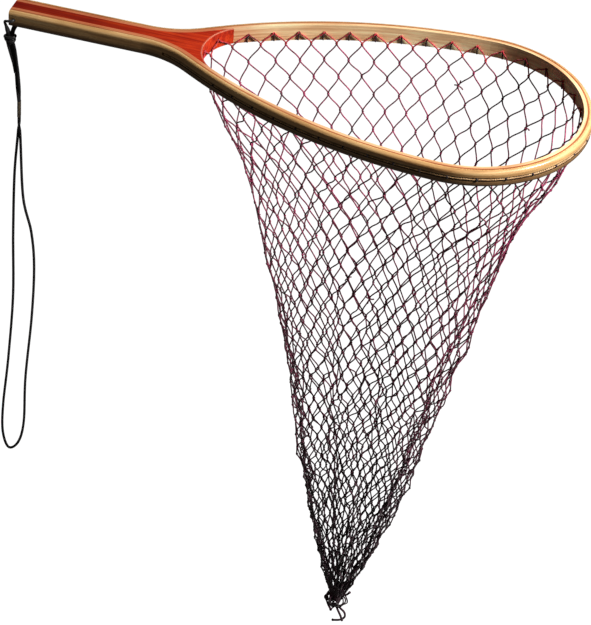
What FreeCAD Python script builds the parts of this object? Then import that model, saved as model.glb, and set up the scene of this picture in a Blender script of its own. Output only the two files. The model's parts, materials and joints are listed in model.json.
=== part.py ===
import FreeCAD, Part
import math
import os
import Sketcher

# Wooden landing net.  Millimetres, Z up.
# Origin: centre of the handle's butt face, halfway through the frame's thickness.
# +X runs along the handle to the far end of the hoop, +Y across the hoop, the bag hangs to -Z.

# ---------------------------------------------------------------- driving dimensions
SIZES = {
    # bent frame, all measured on the inner face of the innermost strip
    "overall_length": 600.0,
    "handle_gap": 12.4,
    "leg_length": 141.0,
    "flare_radius": 99.0,
    "flare_angle": 33.0,
    "flare_straight": 17.0,
    "side_radius": 516.0,
    "frame_thick": 18.0,
    "inner_strip": 3.4,
    "accent_strip": 1.8,
    "outer_strip": 4.4,
    "edge_round": 3.9,
    # handle core
    "crotch_x": 203.0,
    "horn_x": 222.0,
    # lacing
    "groove_width": 3.6,
    "groove_depth": 3.0,
    "groove_start": 165.0,
    "lacing_dia": 2.4,
    "drill_dia": 2.6,
    "drill_pitch": 26.2,
    "crotch_drill_length": 16.0,
    "crotch_tilt": 55.0,
    # net
    "twine_dia": 1.3,
    "rim_drop": 12.5,
    "rim_inset": 2.4,
    "bag_depth": 700.0,
    "bag_half_length": 189.0,
    "bag_centre_x": 396.0,
    "bag_lean": 24.0,
    "tail_shift": 4.0,
    "melt_depth": 100.0,
    "swing_drop": 92.0,
    "sway_drop": 392.0,
    "lift_drop": 560.0,
    "lip_height": 10.0,
    "lip_inset": 6.0,
    "neck_drop": 684.0,
    "bundle_radius": 5.2,
    "tie_height": 7.0,
    "tie_wrap_dia": 1.8,
    # lanyard
    "lanyard_x": 5.5,
    "lanyard_hole_dia": 4.0,
    "lanyard_y": -12.0,
    "lanyard_dia": 2.8,
    "knot_x": 0.3,
    "knot_drop": 25.3,
    "knot_height": 11.0,
    "knot_radius": 4.6,
    "strand_offset": 1.7,
    "bend_drop": 93.0,
    "band_x": 10.4,
    "split_drop": 140.6,
    "fold_gap": 3.3,
    "whip_drop": 108.5,
    "whip_length": 20.0,
    "loop_drop": 574.0,
    "loop_end_radius": 12.0,
    "loop_bottom_x": -2.4,
    "loop_left_radius": 9000.0,
    "loop_right_radius": 1900.0,
    "band_wide": 8.0,
    "band_narrow": 5.2,
    "band_wall": 0.6,
}
N_SIDE_DRILLS = 17
N_CROTCH_DRILLS = 3

doc = FreeCAD.newDocument("landing_net")
sheet = doc.addObject("Spreadsheet::Sheet", "sizes")


def side_centre(size):
    """Centre of the long side arc on the +Y side."""
    angle = math.radians(size["flare_angle"])
    start_x = (
        size["leg_length"]
        + size["flare_radius"] * math.sin(angle)
        + size["flare_straight"] * math.cos(angle)
    )
    start_y = (
        size["handle_gap"] / 2
        + size["flare_radius"] * (1 - math.cos(angle))
        + size["flare_straight"] * math.sin(angle)
    )
    return start_x + size["side_radius"] * math.sin(angle), start_y - size["side_radius"] * math.cos(angle)


def far_radius(size):
    """Radius of the far arc that meets the side arc tangentially and ends at overall_length."""
    centre_x, centre_y = side_centre(size)
    strip_total = size["inner_strip"] + size["accent_strip"] + size["outer_strip"]
    reach = size["overall_length"] - strip_total - centre_x
    side = size["side_radius"]
    return (side**2 - reach**2 - centre_y**2) / (2 * (side - reach))


SIZES["end_radius"] = round(far_radius(SIZES), 5)
for row, (alias, value) in enumerate(SIZES.items(), start=1):
    sheet.set(f"A{row}", alias)
    sheet.set(f"B{row}", str(value))
    sheet.setAlias(f"B{row}", alias)
doc.recompute()


def size(alias):
    """A size read back from the sheet."""
    return float(getattr(sheet, alias))


# ---------------------------------------------------------------- the hoop's inner outline
STRIPS = size("inner_strip") + size("accent_strip") + size("outer_strip")
FLARE = math.radians(size("flare_angle"))
HALF_THICK = size("frame_thick") / 2
SIDE_X, SIDE_Y = side_centre(SIZES)
END_X = size("overall_length") - STRIPS - size("end_radius")
JOIN_ANGLE = math.atan2(-SIDE_Y, END_X - SIDE_X)
HORN_ANGLE = math.acos((size("horn_x") - SIDE_X) / size("side_radius"))
HORN_Y = SIDE_Y + size("side_radius") * math.sin(HORN_ANGLE)
SCOOP_DEPTH = size("horn_x") - size("crotch_x")
SCOOP_RADIUS = (HORN_Y**2 + SCOOP_DEPTH**2) / (2 * SCOOP_DEPTH)
SCOOP_X = size("crotch_x") + SCOOP_RADIUS
END_ARC = size("end_radius") * JOIN_ANGLE
SIDE_ARC = size("side_radius") * (HORN_ANGLE - JOIN_ANGLE)
SCOOP_HALF_ANGLE = math.asin(HORN_Y / SCOOP_RADIUS)
SCOOP_ARC = 2 * SCOOP_RADIUS * SCOOP_HALF_ANGLE
PERIMETER = 2 * (END_ARC + SIDE_ARC) + SCOOP_ARC


def rim(distance):
    """Point (x, y) on the mouth's closed outline and its outward normal, going from the far end over +Y."""
    distance %= PERIMETER
    if distance > PERIMETER / 2:
        x, y, normal_x, normal_y = rim(PERIMETER - distance)
        return x, -y, normal_x, -normal_y
    if distance <= END_ARC:
        angle = distance / size("end_radius")
        centre_x, centre_y, radius = END_X, 0.0, size("end_radius")
    elif distance <= END_ARC + SIDE_ARC:
        angle = JOIN_ANGLE + (distance - END_ARC) / size("side_radius")
        centre_x, centre_y, radius = SIDE_X, SIDE_Y, size("side_radius")
    else:
        along = distance - END_ARC - SIDE_ARC
        angle = math.pi - SCOOP_HALF_ANGLE + along / SCOOP_RADIUS
        centre_x, centre_y, radius = SCOOP_X, 0.0, SCOOP_RADIUS
    normal_x, normal_y = math.cos(angle), math.sin(angle)
    return centre_x + radius * normal_x, centre_y + radius * normal_y, normal_x, normal_y


def drill_distances():
    """Distances round the outline of every lacing hole: the hoop's first, then the crotch's."""
    pitch = size("drill_pitch")
    hoop = []
    for index in range(N_SIDE_DRILLS):
        hoop.append((index + 0.5) * pitch)
        hoop.append(PERIMETER - (index + 0.5) * pitch)
    crotch = []
    for index in range(N_CROTCH_DRILLS):
        crotch.append(PERIMETER / 2 + (index - (N_CROTCH_DRILLS - 1) / 2) * pitch)
    return hoop, crotch


# ---------------------------------------------------------------- helpers for bodies and sketches
def plane(body, role):
    """One of a body's own origin planes."""
    for feature in body.Origin.OriginFeatures:
        if feature.Role == role:
            return feature
    raise ValueError(role)


def new_body(label):
    body = doc.addObject("PartDesign::Body", label)
    body.Label = label
    return body


def new_sketch(body, name, role="XY_Plane"):
    sketch = body.newObject("Sketcher::SketchObject", name)
    sketch.AttachmentSupport = [(plane(body, role), "")]
    sketch.MapMode = "FlatFace"
    return sketch


def bind(sketch, constraint, expression, name):
    """Add a constraint and bind its value to the sheet."""
    index = sketch.addConstraint(constraint)
    sketch.renameConstraint(index, name)
    sketch.setExpression(f"Constraints.{name}", expression)
    return index


def vec(x, y, z=0.0):
    return FreeCAD.Vector(x, y, z)


Z_AXIS = vec(0, 0, 1)
X_AXIS_GEO = -1
Y_AXIS_GEO = -2
START, END, CENTRE = 1, 2, 3


def add_path(sketch, tag, offset, offset_expression, start="butt", gap=0.0):
    """Half of the frame's outline, offset outwards, from its start to the far end on the X axis.

    start is "butt" for the whole half, or "groove" to begin partway along the flare arc, a gap
    past the groove's end.  Returns the indices of the first and last elements.
    """
    flare_radius = size("flare_radius") - offset
    flare_centre = vec(size("leg_length"), size("handle_gap") / 2 + size("flare_radius"))
    level = size("handle_gap") / 2 + offset
    if start == "butt":
        leg = sketch.addGeometry(Part.LineSegment(vec(0, level), vec(size("leg_length"), level)))
        first_angle = -math.pi / 2
    else:
        leg = None
        start_x = size("groove_start") + gap
        first_angle = -math.acos((start_x - size("leg_length")) / flare_radius)
    flare = sketch.addGeometry(
        Part.ArcOfCircle(Part.Circle(flare_centre, Z_AXIS, flare_radius), first_angle, FLARE - math.pi / 2)
    )
    flare_end = flare_centre + vec(flare_radius * math.sin(FLARE), -flare_radius * math.cos(FLARE))
    straight_end = flare_end + vec(math.cos(FLARE), math.sin(FLARE)) * size("flare_straight")
    straight = sketch.addGeometry(Part.LineSegment(flare_end, straight_end))
    side = sketch.addGeometry(
        Part.ArcOfCircle(
            Part.Circle(vec(SIDE_X, SIDE_Y), Z_AXIS, size("side_radius") + offset),
            JOIN_ANGLE,
            FLARE + math.pi / 2,
        )
    )
    far = sketch.addGeometry(
        Part.ArcOfCircle(Part.Circle(vec(END_X, 0), Z_AXIS, size("end_radius") + offset), 0, JOIN_ANGLE)
    )
    tangents = [(flare, END, straight, START), (straight, END, side, END), (side, START, far, END)]
    if leg is not None:
        sketch.addConstraint(Sketcher.Constraint("Horizontal", leg))
        sketch.addConstraint(Sketcher.Constraint("PointOnObject", leg, START, Y_AXIS_GEO))
        tangents.insert(0, (leg, END, flare, START))
        bind(
            sketch,
            Sketcher.Constraint("DistanceY", X_AXIS_GEO, START, leg, START, level),
            f"sizes.handle_gap / 2 + {offset_expression}",
            f"{tag}_level",
        )
    else:
        bind(
            sketch,
            Sketcher.Constraint("DistanceX", X_AXIS_GEO, START, flare, START, start_x),
            f"sizes.groove_start + {gap}",
            f"{tag}_start",
        )
        bind(
            sketch,
            Sketcher.Constraint("DistanceY", X_AXIS_GEO, START, flare, CENTRE, flare_centre.y),
            "sizes.handle_gap / 2 + sizes.flare_radius",
            f"{tag}_flare_y",
        )
    for first, first_end, second, second_end in tangents:
        sketch.addConstraint(Sketcher.Constraint("Tangent", first, first_end, second, second_end))
    bind(
        sketch,
        Sketcher.Constraint("DistanceX", X_AXIS_GEO, START, flare, CENTRE, size("leg_length")),
        "sizes.leg_length",
        f"{tag}_flare_x",
    )
    bind(
        sketch,
        Sketcher.Constraint("Radius", flare, flare_radius),
        f"sizes.flare_radius - ({offset_expression})",
        f"{tag}_flare_r",
    )
    bind(
        sketch,
        Sketcher.Constraint("Angle", X_AXIS_GEO, START, straight, START, FLARE),
        "sizes.flare_angle * 1 deg",
        f"{tag}_angle",
    )
    bind(
        sketch,
        Sketcher.Constraint("Distance", straight, size("flare_straight")),
        "sizes.flare_straight",
        f"{tag}_straight",
    )
    bind(
        sketch,
        Sketcher.Constraint("Radius", side, size("side_radius") + offset),
        f"sizes.side_radius + {offset_expression}",
        f"{tag}_side_r",
    )
    sketch.addConstraint(Sketcher.Constraint("PointOnObject", far, CENTRE, X_AXIS_GEO))
    sketch.addConstraint(Sketcher.Constraint("PointOnObject", far, START, X_AXIS_GEO))
    bind(
        sketch,
        Sketcher.Constraint("Radius", far, size("end_radius") + offset),
        f"sizes.end_radius + {offset_expression}",
        f"{tag}_end_r",
    )
    return (leg if leg is not None else flare), far


def join_ends(sketch, first, first_end, second, second_end):
    """A line between the ends of two paths."""
    geometry = sketch.addGeometry(
        Part.LineSegment(sketch.getPoint(first, first_end), sketch.getPoint(second, second_end))
    )
    sketch.addConstraint(Sketcher.Constraint("Coincident", geometry, START, first, first_end))
    sketch.addConstraint(Sketcher.Constraint("Coincident", geometry, END, second, second_end))


def strip_sketch(body, name, inner, inner_text, outer, outer_text, start="butt"):
    """The closed half outline between two offsets of the frame's path."""
    sketch = new_sketch(body, name)
    inner_first, inner_last = add_path(sketch, "inner", inner, inner_text, start)
    outer_first, outer_last = add_path(sketch, "outer", outer, outer_text, start)
    join_ends(sketch, inner_first, START, outer_first, START)
    join_ends(sketch, inner_last, START, outer_last, START)
    return sketch


def mirror_across_axis(body, originals, name):
    mirrored = body.newObject("PartDesign::Mirrored", name)
    mirrored.Originals = originals
    mirrored.MirrorPlane = (plane(body, "XZ_Plane"), [""])
    body.Tip = mirrored
    doc.recompute()
    return mirrored


def strip_body(label, inner, inner_text, outer, outer_text):
    """A bent strip, continuous from one side of the butt round the hoop to the other side."""
    body = new_body(label)
    sketch = strip_sketch(body, f"{label}_outline", inner, inner_text, outer, outer_text)
    pad = body.newObject("PartDesign::Pad", f"{label}_pad")
    pad.Profile = sketch
    pad.Midplane = True
    pad.setExpression("Length", "sizes.frame_thick")
    doc.recompute()
    return body, mirror_across_axis(body, [pad], f"{label}_both_sides")


# ---------------------------------------------------------------- lacing holes (cutting tools)
DRILL_START = 1.0
CROSS_DRILL_LENGTH = 80.0


def drill_tools():
    """Radial holes through the hoop's strips, and a cross hole for the lanyard, as cutting tools."""
    hoop, _ = drill_distances()
    drills = []
    for index, distance in enumerate(hoop):
        x, y, normal_x, normal_y = rim(distance)
        drill = doc.addObject("Part::Cylinder", f"drill_{index}")
        drill.setExpression("Radius", "sizes.drill_dia / 2")
        drill.setExpression(
            "Height",
            "sizes.inner_strip + sizes.accent_strip + sizes.outer_strip - sizes.groove_depth"
            f" + 2 * {DRILL_START}",
        )
        outward = vec(normal_x, normal_y)
        start = vec(x, y) - outward * DRILL_START
        drill.Placement = FreeCAD.Placement(start, FreeCAD.Rotation(Z_AXIS, outward))
        drills.append(drill)
    across = doc.addObject("Part::Cylinder", "lanyard_drill")
    across.setExpression("Radius", "sizes.lanyard_hole_dia / 2")
    across.Height = CROSS_DRILL_LENGTH
    across.Placement = FreeCAD.Placement(
        vec(size("lanyard_x"), -CROSS_DRILL_LENGTH / 2), FreeCAD.Rotation(Z_AXIS, vec(0, 1, 0))
    )
    tools = doc.addObject("Part::Compound", "strip_drills")
    tools.Links = drills + [across]
    doc.recompute()
    return tools, across


def drilled(body, tools, label):
    """The body with the holes cut: this is the finished sub-part."""
    body.Label = f"{label}_blank"
    cut = doc.addObject("Part::Cut", label)
    cut.Base = body
    cut.Tool = tools
    cut.Label = label
    doc.recompute()
    return cut


# ---------------------------------------------------------------- bent strips
STRIP_DRILLS, LANYARD_DRILL = drill_tools()

inner_body, _ = strip_body("inner_lamination", 0.0, "0", size("inner_strip"), "sizes.inner_strip")
inner_lamination = drilled(inner_body, STRIP_DRILLS, "inner_lamination")

accent_body, _ = strip_body(
    "accent_lamination",
    size("inner_strip"),
    "sizes.inner_strip",
    size("inner_strip") + size("accent_strip"),
    "sizes.inner_strip + sizes.accent_strip",
)
accent_lamination = drilled(accent_body, STRIP_DRILLS, "accent_lamination")


def outer_rim_edges(shape):
    """The outer strip's long edges on its top and bottom faces, outer side only."""
    names = []
    for index, edge in enumerate(shape.Edges, start=1):
        middle = edge.valueAt((edge.FirstParameter + edge.LastParameter) / 2)
        if abs(abs(middle.z) - HALF_THICK) > 0.01 or middle.x < 1:
            continue
        if on_outer_face(middle):
            names.append(f"Edge{index}")
    return names


def on_outer_face(point):
    """True for a point on the outer strip's outer face."""
    near = 0.05
    level = size("handle_gap") / 2 + STRIPS
    flare_y = size("handle_gap") / 2 + size("flare_radius")
    flare_radius = size("flare_radius") - STRIPS
    across = abs(point.y)
    from_flare = math.hypot(point.x - size("leg_length"), across - flare_y)
    from_side = math.hypot(point.x - SIDE_X, across - SIDE_Y)
    from_end = math.hypot(point.x - END_X, across)
    start = vec(
        size("leg_length") + flare_radius * math.sin(FLARE), flare_y - flare_radius * math.cos(FLARE)
    )
    along = vec(math.cos(FLARE), math.sin(FLARE))
    offset = vec(point.x, across) - start
    from_straight = abs(offset.x * along.y - offset.y * along.x)
    on_straight = from_straight < near and -1 < offset.dot(along) < size("flare_straight") + 1
    return (
        (abs(across - level) < near and point.x <= size("leg_length"))
        or (abs(from_flare - flare_radius) < near and point.x < start.x + 1)
        or on_straight
        or abs(from_side - size("side_radius") - STRIPS) < near
        or abs(from_end - size("end_radius") - STRIPS) < near
    )


outer_body, outer_pad = strip_body(
    "outer_lamination",
    size("inner_strip") + size("accent_strip"),
    "sizes.inner_strip + sizes.accent_strip",
    STRIPS,
    "sizes.inner_strip + sizes.accent_strip + sizes.outer_strip",
)
rounded = outer_body.newObject("PartDesign::Fillet", "outer_rounding")
rounded.Base = (outer_pad, outer_rim_edges(outer_pad.Shape))
rounded.setExpression("Radius", "sizes.edge_round")
outer_body.Tip = rounded
doc.recompute()
volume_before = outer_body.Shape.Volume

groove_sketch = strip_sketch(
    outer_body,
    "groove_outline",
    STRIPS - size("groove_depth"),
    "sizes.inner_strip + sizes.accent_strip + sizes.outer_strip - sizes.groove_depth",
    STRIPS + 2,
    "sizes.inner_strip + sizes.accent_strip + sizes.outer_strip + 2",
    start="groove",
)
groove = outer_body.newObject("PartDesign::Pocket", "lacing_groove")
groove.Profile = groove_sketch
groove.Midplane = True
groove.setExpression("Length", "sizes.groove_width")
doc.recompute()
mirror_across_axis(outer_body, [groove], "lacing_groove_both_sides")
if outer_body.Shape.Volume > volume_before - 1000:
    raise RuntimeError("the lacing groove cut nothing")
outer_lamination = drilled(outer_body, STRIP_DRILLS, "outer_lamination")


# ---------------------------------------------------------------- handle core
def core_body():
    """The stained wedge between the strips: straight, flaring, then scooped out at the crotch."""
    body = new_body("handle_core")
    sketch = new_sketch(body, "core_outline")
    level = size("handle_gap") / 2
    flare_centre = vec(size("leg_length"), level + size("flare_radius"))
    flare_end = flare_centre + vec(math.sin(FLARE), -math.cos(FLARE)) * size("flare_radius")
    straight_end = flare_end + vec(math.cos(FLARE), math.sin(FLARE)) * size("flare_straight")
    horn = vec(size("horn_x"), HORN_Y)
    butt = sketch.addGeometry(Part.LineSegment(vec(0, 0), vec(0, level)))
    leg = sketch.addGeometry(Part.LineSegment(vec(0, level), vec(size("leg_length"), level)))
    flare = sketch.addGeometry(
        Part.ArcOfCircle(
            Part.Circle(flare_centre, Z_AXIS, size("flare_radius")), -math.pi / 2, FLARE - math.pi / 2
        )
    )
    straight = sketch.addGeometry(Part.LineSegment(flare_end, straight_end))
    side = sketch.addGeometry(
        Part.ArcOfCircle(
            Part.Circle(vec(SIDE_X, SIDE_Y), Z_AXIS, size("side_radius")), HORN_ANGLE, FLARE + math.pi / 2
        )
    )
    scoop = sketch.addGeometry(
        Part.ArcOfCircle(
            Part.Circle(vec(SCOOP_X, 0), Z_AXIS, SCOOP_RADIUS), math.pi - SCOOP_HALF_ANGLE, math.pi
        )
    )
    middle = sketch.addGeometry(Part.LineSegment(vec(size("crotch_x"), 0), vec(0, 0)))
    for first, first_end, second, second_end in (
        (butt, END, leg, START),
        (side, START, scoop, START),
        (scoop, END, middle, START),
        (middle, END, butt, START),
    ):
        sketch.addConstraint(Sketcher.Constraint("Coincident", first, first_end, second, second_end))
    for first, first_end, second, second_end in (
        (leg, END, flare, START),
        (flare, END, straight, START),
        (straight, END, side, END),
    ):
        sketch.addConstraint(Sketcher.Constraint("Tangent", first, first_end, second, second_end))
    sketch.addConstraint(Sketcher.Constraint("Coincident", butt, START, X_AXIS_GEO, START))
    sketch.addConstraint(Sketcher.Constraint("Vertical", butt))
    sketch.addConstraint(Sketcher.Constraint("Horizontal", leg))
    sketch.addConstraint(Sketcher.Constraint("Horizontal", middle))
    sketch.addConstraint(Sketcher.Constraint("PointOnObject", scoop, CENTRE, X_AXIS_GEO))
    bind(sketch, Sketcher.Constraint("Distance", butt, level), "sizes.handle_gap / 2", "half_gap")
    bind(sketch, Sketcher.Constraint("Distance", leg, size("leg_length")), "sizes.leg_length", "leg")
    bind(
        sketch, Sketcher.Constraint("Radius", flare, size("flare_radius")), "sizes.flare_radius", "flare_r"
    )
    bind(
        sketch,
        Sketcher.Constraint("Angle", X_AXIS_GEO, START, straight, START, FLARE),
        "sizes.flare_angle * 1 deg",
        "flare_turn",
    )
    bind(
        sketch,
        Sketcher.Constraint("Distance", straight, size("flare_straight")),
        "sizes.flare_straight",
        "straight",
    )
    bind(sketch, Sketcher.Constraint("Radius", side, size("side_radius")), "sizes.side_radius", "side_r")
    bind(
        sketch,
        Sketcher.Constraint("DistanceX", X_AXIS_GEO, START, scoop, START, horn.x),
        "sizes.horn_x",
        "horn",
    )
    bind(
        sketch,
        Sketcher.Constraint("DistanceX", X_AXIS_GEO, START, scoop, END, size("crotch_x")),
        "sizes.crotch_x",
        "crotch",
    )
    pad = body.newObject("PartDesign::Pad", "core_pad")
    pad.Profile = sketch
    pad.Midplane = True
    pad.setExpression("Length", "sizes.frame_thick")
    doc.recompute()
    mirror_across_axis(body, [pad], "core_both_sides")
    return body


CROTCH_TILT = math.radians(size("crotch_tilt"))
CROTCH_DIRECTION = vec(-math.cos(CROTCH_TILT), 0, -math.sin(CROTCH_TILT))
CROTCH_DRILL_START = 4.0


def crotch_drills():
    """Steep holes from the scooped face back and down to the core's underside."""
    _, crotch = drill_distances()
    drills = []
    for index, distance in enumerate(crotch):
        x, y, _, _ = rim(distance)
        drill = doc.addObject("Part::Cylinder", f"crotch_drill_{index}")
        drill.setExpression("Radius", "sizes.drill_dia / 2")
        drill.setExpression("Height", "sizes.crotch_drill_length")
        start = vec(x, y) - CROTCH_DIRECTION * CROTCH_DRILL_START
        drill.Placement = FreeCAD.Placement(start, FreeCAD.Rotation(Z_AXIS, CROTCH_DIRECTION))
        drills.append(drill)
    tools = doc.addObject("Part::Compound", "core_drills")
    tools.Links = drills + [LANYARD_DRILL]
    doc.recompute()
    return tools


handle_core = drilled(core_body(), crotch_drills(), "handle_core")


# ---------------------------------------------------------------- lacing cord in the groove
LACING_END_GAP = 1.5


def lacing_body():
    """Round cord lying in the groove, from one groove end round the hoop to the other."""
    body = new_body("lacing_cord")
    clearance = 0.1
    offset = STRIPS - size("groove_depth") + size("lacing_dia") / 2 + clearance
    text = (
        "sizes.inner_strip + sizes.accent_strip + sizes.outer_strip"
        f" - sizes.groove_depth + sizes.lacing_dia / 2 + {clearance}"
    )
    spine = new_sketch(body, "lacing_path")
    add_path(spine, "cord", offset, text, start="groove", gap=LACING_END_GAP)
    section = new_sketch(body, "lacing_section", "XZ_Plane")
    tip = END_X + size("end_radius") + offset
    circle = section.addGeometry(Part.Circle(vec(tip, 0), Z_AXIS, size("lacing_dia") / 2))
    section.addConstraint(Sketcher.Constraint("PointOnObject", circle, CENTRE, X_AXIS_GEO))
    bind(
        section,
        Sketcher.Constraint("DistanceX", X_AXIS_GEO, START, circle, CENTRE, tip),
        "sizes.overall_length - sizes.groove_depth"
        f" + sizes.lacing_dia / 2 + {clearance}",
        "tip",
    )
    bind(section, Sketcher.Constraint("Diameter", circle, size("lacing_dia")), "sizes.lacing_dia", "cord_d")
    doc.recompute()
    pipe = body.newObject("PartDesign::AdditivePipe", "lacing_pipe")
    pipe.Profile = section
    pipe.Spine = (spine, [""])
    doc.recompute()
    mirror_across_axis(body, [pipe], "lacing_both_sides")
    return body


lacing_cord = lacing_body()


# ---------------------------------------------------------------- pieces whose shape is set in code
def coded_piece(label, shape):
    """A free-form piece: a soft net or a cord whose line follows the hoop's outline."""
    piece = doc.addObject("Part::Feature", label)
    piece.Label = label
    piece.Shape = shape
    piece.Placement = FreeCAD.Placement()
    return piece


def rod(start, end, radius):
    direction = end - start
    return Part.makeCylinder(radius, direction.Length, start, direction)


def cord_along(points, radius, closed=False):
    """A round cord swept along a smooth curve through the points."""
    curve = Part.BSplineCurve()
    curve.interpolate(Points=points, PeriodicFlag=closed)
    spine = Part.Wire([curve.toShape()])
    start = curve.value(curve.FirstParameter)
    tangent = curve.tangent(curve.FirstParameter)[0]
    section = Part.Wire([Part.Circle(start, tangent, radius).toShape()])
    return spine.makePipeShell([section], True, False)


# ---------------------------------------------------------------- mesh bights at the lacing holes
RIM_INSET = size("rim_inset")
MOUTH_INSET = 1.5
MOUTH_DROP = 0.2
KNOT_OVERLAP = 0.9
KNOT_SPREAD = 0.47
DOUBLED_TWINE = 1.5
LOOSE_TWINE = 1.15
CROTCH_BIGHT_DEPTH = 5.5


def rim_knot(distance):
    """Where two neighbouring bights meet: a little inside the rim, at the collar's top."""
    x, y, normal_x, normal_y = rim(distance)
    return vec(x - RIM_INSET * normal_x, y - RIM_INSET * normal_y, KNOT_OVERLAP - size("rim_drop"))


def bight(distance, into_wood, depth):
    """One mesh bight: through its hole, out at the inner face, then down to two knots as a V."""
    radius = size("twine_dia") / 2
    x, y, normal_x, normal_y = rim(distance)
    wall = vec(x, y)
    mouth = vec(x - MOUTH_INSET * normal_x, y - MOUTH_INSET * normal_y, -MOUTH_DROP)
    left = rim_knot(distance - size("drill_pitch") * KNOT_SPREAD)
    right = rim_knot(distance + size("drill_pitch") * KNOT_SPREAD)
    pieces = [
        Part.makeSphere(radius * LOOSE_TWINE, mouth),
        rod(mouth, wall + into_wood * 0.5, radius * LOOSE_TWINE),
        rod(wall, wall + into_wood * depth, radius * DOUBLED_TWINE),
        rod(mouth, left, radius),
        rod(mouth, right, radius),
    ]
    return pieces[0].multiFuse(pieces[1:]).removeSplitter()


def bights():
    hoop, crotch = drill_distances()
    through = STRIPS - size("groove_depth") - 0.1
    solids = []
    for distance in hoop:
        _, _, normal_x, normal_y = rim(distance)
        solids.extend(bight(distance, vec(normal_x, normal_y), through).Solids)
    for distance in crotch:
        solids.extend(bight(distance, CROTCH_DIRECTION, CROTCH_BIGHT_DEPTH).Solids)
    return Part.makeCompound(solids)


mesh_bights = coded_piece("mesh_bights", bights())

# ---------------------------------------------------------------- net bag
N_SECTION_POINTS = 48
WAIST_PULL = 1.1
WAIST_SHARE = 0.53
WIDTH_AT_TOP = 0.56
WIDTH_GAIN = 0.20
EGG_TAPER = 0.6
LIP_FADE = 80.0


def ease(value):
    """Smooth step from 0 to 1."""
    value = min(1.0, max(0.0, value))
    return value * value * (3 - 2 * value)


def bag_centre(drop):
    """X of the bag's middle at a depth: it leans towards the far end halfway down."""
    share = drop / size("bag_depth")
    return size("bag_centre_x") + size("bag_lean") * share * (1 - share) - size("tail_shift") * share


def bag_section(drop, inset):
    """Closed outline of the bag at a depth below the hoop's middle plane.

    At the rim it is the mouth's own outline; further down it turns into a smooth egg, then an
    ellipse that shrinks to the tail.
    """
    share = drop / size("bag_depth")
    shrink = (1 - share) * (1 + WAIST_PULL * share * (share - WAIST_SHARE))
    half_length = size("bag_half_length") * shrink
    half_width = half_length * (WIDTH_AT_TOP + WIDTH_GAIN * share)
    taper = EGG_TAPER * (1 - share) ** 3
    melt = ease((drop - size("rim_drop")) / size("melt_depth"))
    pull = RIM_INSET - size("twine_dia") / 2 + inset
    points = []
    for index in range(N_SECTION_POINTS):
        turn = index / N_SECTION_POINTS
        rim_x, rim_y, normal_x, normal_y = rim(turn * PERIMETER)
        flat = vec(rim_x - pull * normal_x, rim_y - pull * normal_y, -drop)
        angle = 2 * math.pi * turn
        egg_x = bag_centre(drop) + (half_length - inset) * math.cos(angle)
        egg_y = (half_width - inset) * math.sin(angle) * (1 + taper * math.cos(angle))
        points.append(flat + (vec(egg_x, egg_y, -drop) - flat) * melt)
    curve = Part.BSplineCurve()
    curve.interpolate(Points=points, PeriodicFlag=True)
    return Part.Wire([curve.toShape()])


def bag_shell(top, bottom, n_sections, lip=True, closed=False):
    """A soft tube of netting from one depth to another, its top lip tucked inside the piece above."""
    wall = size("twine_dia")
    outer, inner = [], []
    for index in range(n_sections):
        drop = top + (bottom - top) * index / (n_sections - 1)
        tuck = size("lip_inset") * (1 - ease((drop - top) / LIP_FADE)) if lip else 0.0
        outer.append(bag_section(drop, tuck))
        inner.append(bag_section(drop, tuck + wall))
    if closed:
        inner = inner[:-1]
    return Part.makeLoft(outer, True, False).cut(Part.makeLoft(inner, True, False))


net_collar = coded_piece("net_collar", bag_shell(size("rim_drop"), size("swing_drop"), 5, lip=False))
net_belly = coded_piece(
    "net_belly", bag_shell(size("swing_drop") - size("lip_height"), size("sway_drop"), 7)
)
net_foot = coded_piece(
    "net_foot", bag_shell(size("sway_drop") - size("lip_height"), size("lift_drop"), 5)
)
net_tail = coded_piece(
    "net_tail", bag_shell(size("lift_drop") - size("lip_height"), size("neck_drop"), 6, closed=True)
)


# ---------------------------------------------------------------- tail tie and twine ends
TAIL_X = bag_centre(size("neck_drop"))
TAIL_GAP = 0.2
N_TIE_WRAPS = 3
WRAP_SPACING = 1.12
# direction round the tail in degrees, reach outwards and drop, of each loose end
TWINE_ENDS = ((20, 5, 20), (145, 11, 9), (205, 8, 14), (300, 4, 15))
END_ROOT_RADIUS = 2.6


def tie():
    """The gathered end of the bag, bound by wraps of twine."""
    radius = size("tie_wrap_dia") / 2
    bundle = size("bundle_radius")
    height = size("tie_height")
    top = vec(TAIL_X, 0, -size("neck_drop") - TAIL_GAP)
    core = Part.makeCylinder(bundle, height, top - vec(0, 0, height), Z_AXIS)
    wraps = []
    for index in range(N_TIE_WRAPS):
        drop = (index + 0.75) * size("tie_wrap_dia") * WRAP_SPACING
        wraps.append(Part.makeTorus(bundle + radius * 0.4, radius, top - vec(0, 0, drop), Z_AXIS))
    return core.multiFuse(wraps).removeSplitter()


def twine_ends():
    """Loose ends of twine and mesh sticking out below the tie."""
    start_z = -size("neck_drop") - size("tie_height") - 1.75 * TAIL_GAP
    solids = []
    for turn, reach, drop in TWINE_ENDS:
        angle = math.radians(turn)
        outward = vec(math.cos(angle), math.sin(angle))
        base = vec(TAIL_X, 0, start_z) + outward * END_ROOT_RADIUS
        bend = base + outward * (reach * 0.2) - vec(0, 0, drop * 0.5)
        end = base + outward * reach - vec(0, 0, drop)
        solids.append(cord_along([base, bend, end], size("twine_dia") / 2))
    return Part.makeCompound(solids)


tail_tie = coded_piece("tail_tie", tie())
tail_ends = coded_piece("tail_ends", twine_ends())

# ---------------------------------------------------------------- lanyard
KNOT_GAP = 0.3
LOOP_START = 0.2
LANYARD_Y = size("lanyard_y")


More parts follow.
